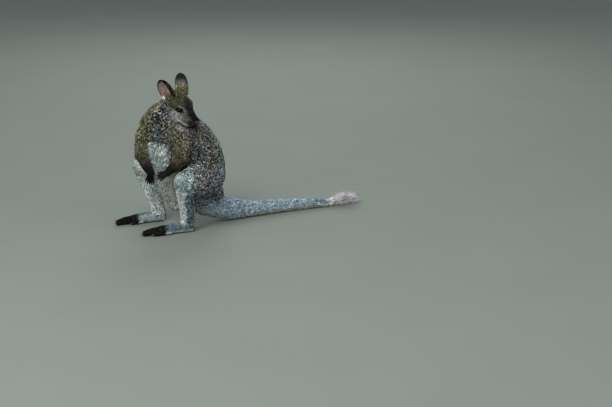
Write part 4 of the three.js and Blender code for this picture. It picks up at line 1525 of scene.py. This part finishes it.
def build_eye(name):
    """An eyeball: a ball with a low swelling over the pupil, and an oval pupil in a dark brown iris."""
    centre, out, forward, up = eye_frame(name)
    polar, around = globe(26, 40)
    swell = 1 + EYEBALL["swelling"] * bell(polar, EYEBALL["swelling_wide"])
    radius = (EYE["radius"] - EYEBALL["sunk"]) * swell / (1 + EYEBALL["swelling"])
    # The rings run from the inner pole outwards, counter-clockwise about the way they run.
    polar = math.pi - polar
    left = np.cross(up, out)
    rings = centre + radius[..., None] * (
        np.cos(polar)[..., None] * out
        + (np.sin(polar) * np.cos(around))[..., None] * up
        + (np.sin(polar) * np.sin(around))[..., None] * left
    )
    vertices, faces = closed_rings(rings)
    offset = vertices - centre
    along, rise = offset @ forward, offset @ up
    long, tall = EYEBALL["pupil"]
    pupil = np.sqrt((along / long) ** 2 + (rise / tall) ** 2)
    iris = 1 - ramp(np.hypot(along, rise), *EYEBALL["iris"])
    colour = mixed(spread_out(paint(8, 7, 6), vertices), paint(19, 14, 11), iris)
    colour = mixed(colour, paint(4, 3, 3), 1 - ramp(pupil, 0.9, 1.1))
    piece = mesh_piece("eyeball_" + name, vertices, faces, FINISHES["eye"], "eye", colour)
    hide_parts("eye_" + name)


def build_nose():
    """The nose pad: a rounded block on the head's axes, with a nostril pressed into each side of its
    front and a groove down the middle to the lip."""
    polar, around = globe(40, 64)
    polar = math.pi - polar
    out = np.cos(polar)
    left = np.sin(polar) * np.sin(around)
    up = np.sin(polar) * np.cos(around)
    share = (np.abs(left) ** 2.6 + np.abs(up) ** 2.6 + np.abs(out) ** 2.6) ** (-1 / 2.6)
    left, up, out = left * share, up * share, out * share
    for sign in SIDES.values():
        # A comma: a round hole with a slit that runs out and up from it.
        hole = bell(np.hypot((sign * left - 0.46) / 0.22, (up + 0.22) / 0.24), 1.0)
        slit = bell((up + 0.05 - 0.5 * (sign * left - 0.6)) / 0.12, 1.0)
        slit = slit * bell((sign * left - 0.72) / 0.22, 1.0)
        out = out - 0.42 * np.maximum(hole, 0.8 * slit) * (out > 0)
    groove = bell(left / 0.07, 1.0) * ramp(-up, -0.1, 0.3) * (out > 0)
    out = out - 0.12 * groove
    offset = (
        (NOSE["deep"] * 0.97 * out)[..., None] * HEAD_FORWARD
        + (NOSE["wide"] * 0.95 * left)[..., None] * HEAD_LEFT
        + (NOSE["tall"] * 0.95 * up)[..., None] * HEAD_UP
    )
    centre = in_head(NOSE["back"], 0, NOSE["up"]) + CENTRE
    vertices, faces = closed_rings(centre + offset)
    piece = mesh_piece("nose_pad", vertices, faces, FINISHES["nose"], "nose_leather")
    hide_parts("nose")


CLAWS = {
    "fourth": {"length": 15, "radius": 4.8, "droop": 5, "tip": (194, 0, 10.5)},
    "fifth": {"length": 14, "radius": 3.6, "droop": 3, "tip": (159, 14, 8)},
    "second": {"length": 9, "radius": 2.0, "droop": 2, "tip": (142, -18.6, 7)},
    "third": {"length": 9, "radius": 2.0, "droop": 2, "tip": (142, -13.4, 7)},
    "finger": {"length": 13, "radius": 2.1, "droop": 4},
}


def build_claw(node, root, way, size):
    """A claw: an oval profile carried along a path that droops as the square of its length. It narrows
    to a blunt point, and its underside is flattened."""
    t = np.linspace(-0.3, 1, 14)
    side = unit(np.array([way[1], -way[0], 0]))
    path = root + CENTRE + size["length"] * 0.985 * t[:, None] * way
    path = path - [0, 0, 1] * (size["droop"] * np.maximum(t, 0) ** 2)[:, None]
    along = unit(np.gradient(path, axis=0))
    up = np.cross(side, along)
    swell = size["radius"] * 0.95 * np.interp(t, [-0.3, 0.3, 0.7, 1.0], [1.0, 0.85, 0.5, 0.12])
    # The corners run backwards round the path, so that the faces point outwards.
    angle = np.linspace(0, 2 * math.pi, 16, endpoint=False)[::-1]
    across, rise = 0.84 * np.cos(angle), np.where(np.sin(angle) < 0, 0.72, 1.0) * np.sin(angle)
    rings = (
        path[:, None]
        + (swell[:, None] * across)[..., None] * side
        + (swell[:, None] * rise)[..., None] * up[:, None]
    )
    vertices, faces = closed_rings(rings)
    piece = mesh_piece("horn_" + node, vertices, faces, FINISHES["claw"], "horn")
    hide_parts(node)


def build_claws():
    """The claws of the toes and the fingers."""
    for name in SIDES:
        heel, forward, out = foot_axes(name)
        for toe in ("fourth", "fifth", "second", "third"):
            distance, outward_offset, height = CLAWS[toe]["tip"]
            root = heel + distance * forward + outward_offset * out + [0, 0, height]
            build_claw(f"claw_{toe}_toe_{name}", root, forward, CLAWS[toe])
        for number, spread in enumerate(FINGERS, 1):
            knuckle, way = finger_line(name, spread)
            root = knuckle + way * (HAND["finger"] + 2)
            build_claw(f"claw_finger_{number}_{name}", root, way, CLAWS["finger"])


# -------------------------------------------------------------------------------------- hair of the ears
def leading(name, s):
    """Place across an ear from its rear edge, -1, to its front edge, 1."""
    return s if name == "left" else -s


def ear_colour(name, t, s, inside):
    """Mottled grey pink inside. Outside, dark olive at the root, golden above it, then grey and slate
    towards the tip. A black border is wide on the front edge inside, and narrow elsewhere."""
    front = leading(name, s)
    outer = mixed(spread_out(CROWN, t), EAR_BACK, 0.8 * ramp(t, 0.18, 0.4))
    outer = mixed(outer, paint(88, 89, 82), ramp(t, 0.42, 0.56))
    outer = mixed(outer, paint(26, 29, 30), ramp(t, 0.56, 0.78))
    border = np.maximum(ramp(front, 0.72, 0.88), ramp(-front, 0.84, 0.96)) * ramp(t, 0.4, 0.5)
    border = np.maximum(border, ramp(t, 0.92, 0.97))
    outer = mixed(outer, BLACK, border)
    mottle = ramp(np.sin(9 * s + 5 * t) * np.sin(17 * t - 4 * s) + 0.6 * np.sin(31 * t + 13 * s), -0.3, 1.0)
    inner = mixed(spread_out(SKIN_PINK, t), paint(92, 76, 68), 0.7 * mottle)
    inner = mixed(inner, paint(70, 48, 44), 0.8 * (1 - ramp(t, 0.1, 0.42)) * bell(s, 0.6))
    inner = mixed(inner, paint(90, 88, 82), 0.6 * ramp(t, 0.55, 0.8))
    inner = mixed(inner, paint(180, 162, 152), 0.6 * bell(front - 0.12, 0.12) * (1 - ramp(t, 0.3, 0.6)))
    rim = np.interp(t, [0, 0.3, 0.6], [-0.1, 0.1, 0.24])
    edge = np.maximum(ramp(front, rim, rim + 0.12), ramp(t, 0.87, 0.92))
    edge = np.maximum(edge, ramp(-front, 0.84, 0.92) * ramp(t, 0.4, 0.55))
    inner = mixed(inner, BLACK, edge)
    return mixed(outer, inner, inside)


def ear_hair(name, random, count, inside, low, high):
    """Roots on an ear's outer or inner face between two shares of its length, with the skin's normal
    and the way to the tip there."""
    t, s = random.uniform(low, high, count), random.uniform(-0.98, 0.98, count)
    inset = EAR_FACES[1] if inside else EAR_FACES[0]
    place = ear_sheet(name, t, s, inset)
    way = unit(ear_sheet(name, np.minimum(t + 0.02, 0.995), s, inset) - place)
    across = unit(ear_sheet(name, t, s + 0.02, inset) - place)
    normal = unit(np.cross(way, across))
    middle = ear_sheet(name, t, s, 12.0)
    sign = np.sign(dot(normal, place - middle)) * (-1 if inside else 1)
    return t, s, place, normal * sign[:, None], way


def loose(place, normal):
    """The roots of tufts that stand singly, with no pull to a clump and the usual shade."""
    count = len(place)
    return {
        "place": place,
        "normal": normal,
        "pull": np.zeros((count, 3)),
        "root_shade": np.full(count, ROOT_SHADE),
    }


def ear_locks(name, random):
    """Short hair on the back of an ear, sparse pale hair inside it, a ruff round its root and, on the
    right ear, a white tuft there."""
    made = []
    spans = {"back": (5200, 0.0, 0.985), "inside": (420, 0.05, 0.8), "ruff": (900, -0.05, 0.15)}
    if name == "right":
        spans["root"] = (420, 0.19, 0.28)
    for label, (count, low, high) in spans.items():
        inside = label != "back"
        t, s, place, normal, way = ear_hair(name, random, count, inside, low, high)
        across = np.cross(normal, way)
        if label == "back":
            length, width, lift = 5.5 - 2.5 * t + 4 * (1 - ramp(t, 0.15, 0.5)), 1.2, 16
            colour = ear_colour(name, t, s, np.zeros(count))
        elif label == "inside":
            s_edge = np.abs(s) ** 0.4 * np.sign(s)
            place = ear_sheet(name, t, s_edge, EAR_FACES[1])
            length, width, lift = 7 - 4 * t, 0.45, 22
            colour = 0.5 * (paint(176, 164, 152) + ear_colour(name, t, s_edge, np.ones(count)))
            way = unit(way - 0.5 * across * np.sign(s * dot(across, ear_axes(name)[3]))[:, None])
        elif label == "ruff":
            length, width, lift = np.full(count, 8.5), 1.2, 30
            colour = mixed(spread_out(CROWN, t), OLIVE, 0.5 * ramp(np.sin(40 * s + 9 * t), -0.5, 1.0))
            colour = mixed(colour, BLACK, ramp(leading(name, s), -0.1, 0.3))
        else:
            s_edge = -leading(name, 0.74 + 0.24 * np.abs(s))
            place = ear_sheet(name, t, s_edge, EAR_FACES[1])
            length, width, lift = np.full(count, 11.0), 1.3, 40
            colour = spread_out(WHITE, t)
        way = ruffled(way, normal, 0.16, random)
        tint = np.exp((0.22 + 0.38 * (1 - inside) * (1 - ramp(t, 0.45, 0.6))) * random.normal(size=count))
        uv = np.stack([(0.5 + 0.48 * s + (name == "left")) / 2, (0.04 + 0.9 * t + inside) / 2], 1)
        made.append(
            {
                "way": way,
                "length": length * random.uniform(0.75, 1.2, count),
                "width": width * random.uniform(0.8, 1.2, count),
                "lift": np.radians(lift * random.uniform(0.6, 1.4, count)),
                "sink": 0.4,
                "colour": np.clip(colour * tint[:, None], 0, BRIGHTEST),
                "tip_colour": np.clip(1.15 * colour * tint[:, None], 0, BRIGHTEST),
                "flecks": 0.8 * (1 - inside) * (1 - ramp(t, 0.45, 0.6)) + 0.01,
                "uv": np.clip(uv, 0.002, 0.998),
                **loose(place, normal),
            }
        )
    return made


def whisker_roots(random):
    """Whiskers on the sides of the muzzle, in rows that slant back from the nose."""
    row, number = np.meshgrid(np.arange(4), np.arange(6), indexing="ij")
    row, number = row.ravel(), number.ravel()
    back = 14 + 3.6 * number + 1.5 * row + random.uniform(-0.8, 0.8, row.size)
    height = -5 - 4.0 * row + 0.25 * number + random.uniform(-0.6, 0.6, row.size)
    made = []
    for sign in SIDES.values():
        # Each root is found by stepping in from the side until the skin is reached.
        side = np.full(row.size, 30.0)
        for _ in range(12):
            side -= in_chunks(face_field, in_head(back, sign * side, height) + CENTRE)
        place = in_head(back, sign * side, height) + CENTRE
        normal = unit(slope(face_field, place))
        count = len(place)
        made.append(
            {
                "way": ruffled(-0.8 * HEAD_FORWARD - 0.25 * HEAD_UP, normal, 0.1, random),
                "length": random.uniform(17, 30, count),
                "width": np.full(count, 0.55),
                "lift": np.radians(random.uniform(42, 60, count)),
                "sink": 0.5,
                "colour": spread_out(BLACK, place),
                "tip_colour": spread_out(BROWN, place),
                "flecks": np.zeros(count),
                "uv": unwrapped(place, ["head"]),
                **loose(place, normal),
            }
        )
    return made


# ---------------------------------------------------------------------------------- the animal, assembled
MOST_LOCKS = {True: 15500, False: 49000}  # curved tufts have ten triangles and straight ones four
SEEDS = {"body": 100, "hands": 300, "ears": 400}
# The skin is painted darker than the coat's marks: painted shade under the coat over it.
SKIN_SHADE_UNDER_COAT = 0.42  # how dark the skin is beside the coat over it


def coat_piece(name, groups, slot, curved, finish):
    """One piece of the coat, from several lists of tufts."""
    parts = [locks(hair, curved) for hair in groups]
    vertices, faces = joined([(part[0], part[1]) for part in parts])
    colours, uv = (np.vstack([part[k] for part in parts]) for k in (2, 3))
    flecks = np.concatenate([part[4] for part in parts])
    # Hair that would pass through the floor bends along it.
    vertices[:, 2] = np.maximum(vertices[:, 2], 0.3 + 0.3 * np.abs(np.sin(vertices[:, 0] * 3.1)))
    return mesh_piece(name, vertices, faces, finish, slot, colours, uv, flecks)


def thinned(place, normal, random, curved):
    """The roots that bear hair, cut down at random to the most that is set for one piece."""
    kept = ~bare_share(place) & (place[:, 2] > 0.9)
    place, normal = place[kept], normal[kept]
    most = MOST_LOCKS[curved]
    if len(place) > most:
        chosen = random.permutation(len(place))[:most]
        place, normal = place[chosen], normal[chosen]
    return place, normal


def build_coat(vertices, triangles, normals, kinds):
    """The coat of the body, piece by piece."""
    thick = blended(kinds, "thick")
    back, _, _ = head_place(vertices)
    thick = thick * (1 + kinds["head"] * np.interp(back, [0, 40, 100, 150], [1.5, 1.0, -0.2, -0.45]))
    thick = thick * (1 - 0.5 * kinds["tail"] * ramp(TUBES["tail"].round_about(vertices)[0], 0.76, 0.82))
    centre = vertices[triangles].mean(1)
    names = np.array(list(TUBES))
    away = np.stack([in_chunks(tube.distance, centre) for tube in TUBES.values()], 1)
    owner = names[away.argmin(1)]
    for number, (name, (tubes, span, slot, curved)) in enumerate(COAT_PIECES.items()):
        random = np.random.default_rng(SEEDS["body"] + number)
        share, _, _ = TUBES[tubes[0]].round_about(centre)
        mine = np.isin(owner, tubes) & (share >= span[0]) & (share < span[1])
        place, normal = sampled(vertices, triangles[mine], normals, thick, random)
        place, normal = thinned(place, normal, random, curved)
        hair = grown(place, normal, random)
        hair["uv"] = unwrapped(place, tubes)
        coat_piece(name, [hair], slot, curved, FINISHES["face" if name == "coat_head" else "coat"])


def build_hands(hands):
    """The black hair of both hands, spread over their skins as evenly as chance allows."""
    random = np.random.default_rng(SEEDS["hands"])
    groups = []
    for name, (vertices, triangles) in hands.items():
        normals = outward(vertices, triangles)
        weight = np.full(len(vertices), float(COATS["hand"]["thick"]))
        place, normal = sampled(vertices, triangles, normals, weight, random)
        hair = grown(place, normal, random)
        hair["uv"] = unwrapped(place, hand_tubes(name))
        groups.append(hair)
    coat_piece("coat_hands", groups, "hand_fur", False, FINISHES["coat"])


def build_wallaby():
    """The skin, the coat over it, and the eyes, nose and claws."""
    body = body_skin()
    hands = {name: hand_skin(name) for name in SIDES}
    ears = {name: ear_skin(name) for name in SIDES}
    vertices, triangles = body
    normals = outward(vertices, triangles)
    kinds = kind_shares(shares(vertices))
    # The skin's marks, painted darker as shade under the coat.
    colours = [SKIN_SHADE_UNDER_COAT * marks(vertices, kinds)]
    colours += [spread_out(BLACK, mesh[0]) for mesh in hands.values()]
    t, s, inside = (values.ravel() for values in ear_grid())
    for name in SIDES:
        # The last two are the middles of the ear's ends.
        colours += [ear_colour(name, t, s, inside.astype(float)), OLIVE[None], BLACK[None]]
    whole = joined([body, *hands.values(), *ears.values()])
    flecks = np.zeros(len(whole[0]))
    flecks[: len(vertices)] = 0.8 * blended(kinds, "speckle")
    skin = mesh_piece("skin", *whole, FINISHES["skin"], "body_fur", np.vstack(colours), flecks=flecks)
    flesh = [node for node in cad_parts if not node.startswith(("claw", "eye", "nose"))]
    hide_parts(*flesh)

    build_coat(vertices, triangles, normals, kinds)
    build_hands(hands)
    random = np.random.default_rng(SEEDS["ears"])
    groups = [hair for name in SIDES for hair in ear_locks(name, random)]
    coat_piece("coat_ears", groups, "ear_fur", False, FINISHES["face"])
    coat_piece("whiskers", whisker_roots(random), "face_fur", True, FINISHES["face"])
    for name in SIDES:
        build_eye(name)
    build_nose()
    build_claws()


# ------------------------------------------------------------------------------ floor, lights and camera
FLOOR_REACH = 40.0  # metres from the middle to each edge


def build_floor():
    """A plain pale floor, in two greens that hardly differ."""
    made, tree, shader, node = new_material("pale_floor")
    place = node("ShaderNodeTexCoord").outputs["Object"]
    colour = blotched(node, place, 2.5, 4.0, paint(104, 112, 104), paint(112, 119, 110))
    tree.links.new(colour, shader.inputs["Base Color"])
    set_sockets(shader, Roughness=0.9)
    mesh = bpy.data.meshes.new("floor")
    corners = [(x * FLOOR_REACH, y * FLOOR_REACH, 0) for x, y in ((-1, -1), (1, -1), (1, 1), (-1, 1))]
    mesh.from_pydata(corners, [], [(0, 1, 2, 3)])
    mesh.materials.append(made)
    floor = bpy.data.objects.new("floor", mesh)
    bpy.context.scene.collection.objects.link(floor)


CAMERA = {"place": (5.1006, -2.0116, 1.649), "heading": 155.96, "pitch": 16.2, "lens": 86.2, "film": 36}
SKY = {"colour": (0.86, 0.92, 1.0, 1), "strength": 0.48}
LIGHTS = {
    # place, size in metres and power in watts; each faces the animal's middle.
    "key": ((2.2, -2.6, 3.4), 2.2, 208),
    "fill": ((3.6, 2.2, 2.0), 3.0, 62),
    "back": ((-3.2, 1.4, 2.8), 2.6, 80),
}


def aimed(name, data, place, target):
    """Links an object at a place and turns it to face a target."""
    made = bpy.data.objects.new(name, data)
    made.location = place
    made.rotation_euler = (Vector(target) - Vector(place)).to_track_quat("-Z", "Y").to_euler()
    bpy.context.scene.collection.objects.link(made)
    return made


def build_studio():
    """Three soft lights, a grey sky and the camera."""
    low, high = (np.array(corner) for corner in solid_box)
    for name, (place, size, power) in LIGHTS.items():
        light = bpy.data.lights.new(name, "AREA")
        light.size, light.energy = size, power
        aimed(name, light, place, (low + high) / 2)
    world = bpy.data.worlds.new("studio")
    world.use_nodes = True
    set_sockets(world.node_tree.nodes["Background"], Color=SKY["colour"], Strength=SKY["strength"])
    bpy.context.scene.world = world
    bpy.context.scene.view_settings.view_transform = "Standard"
    heading, pitch = math.radians(CAMERA["heading"]), math.radians(CAMERA["pitch"])
    way = (math.cos(heading) * math.cos(pitch), math.sin(heading) * math.cos(pitch), -math.sin(pitch))
    data = bpy.data.cameras.new("camera")
    data.lens, data.sensor_width = CAMERA["lens"], CAMERA["film"]
    place = CAMERA["place"]
    camera = aimed("camera", data, place, [p + w for p, w in zip(place, way)])
    bpy.context.scene.camera = camera


build_studio()
build_floor()
build_wallaby()
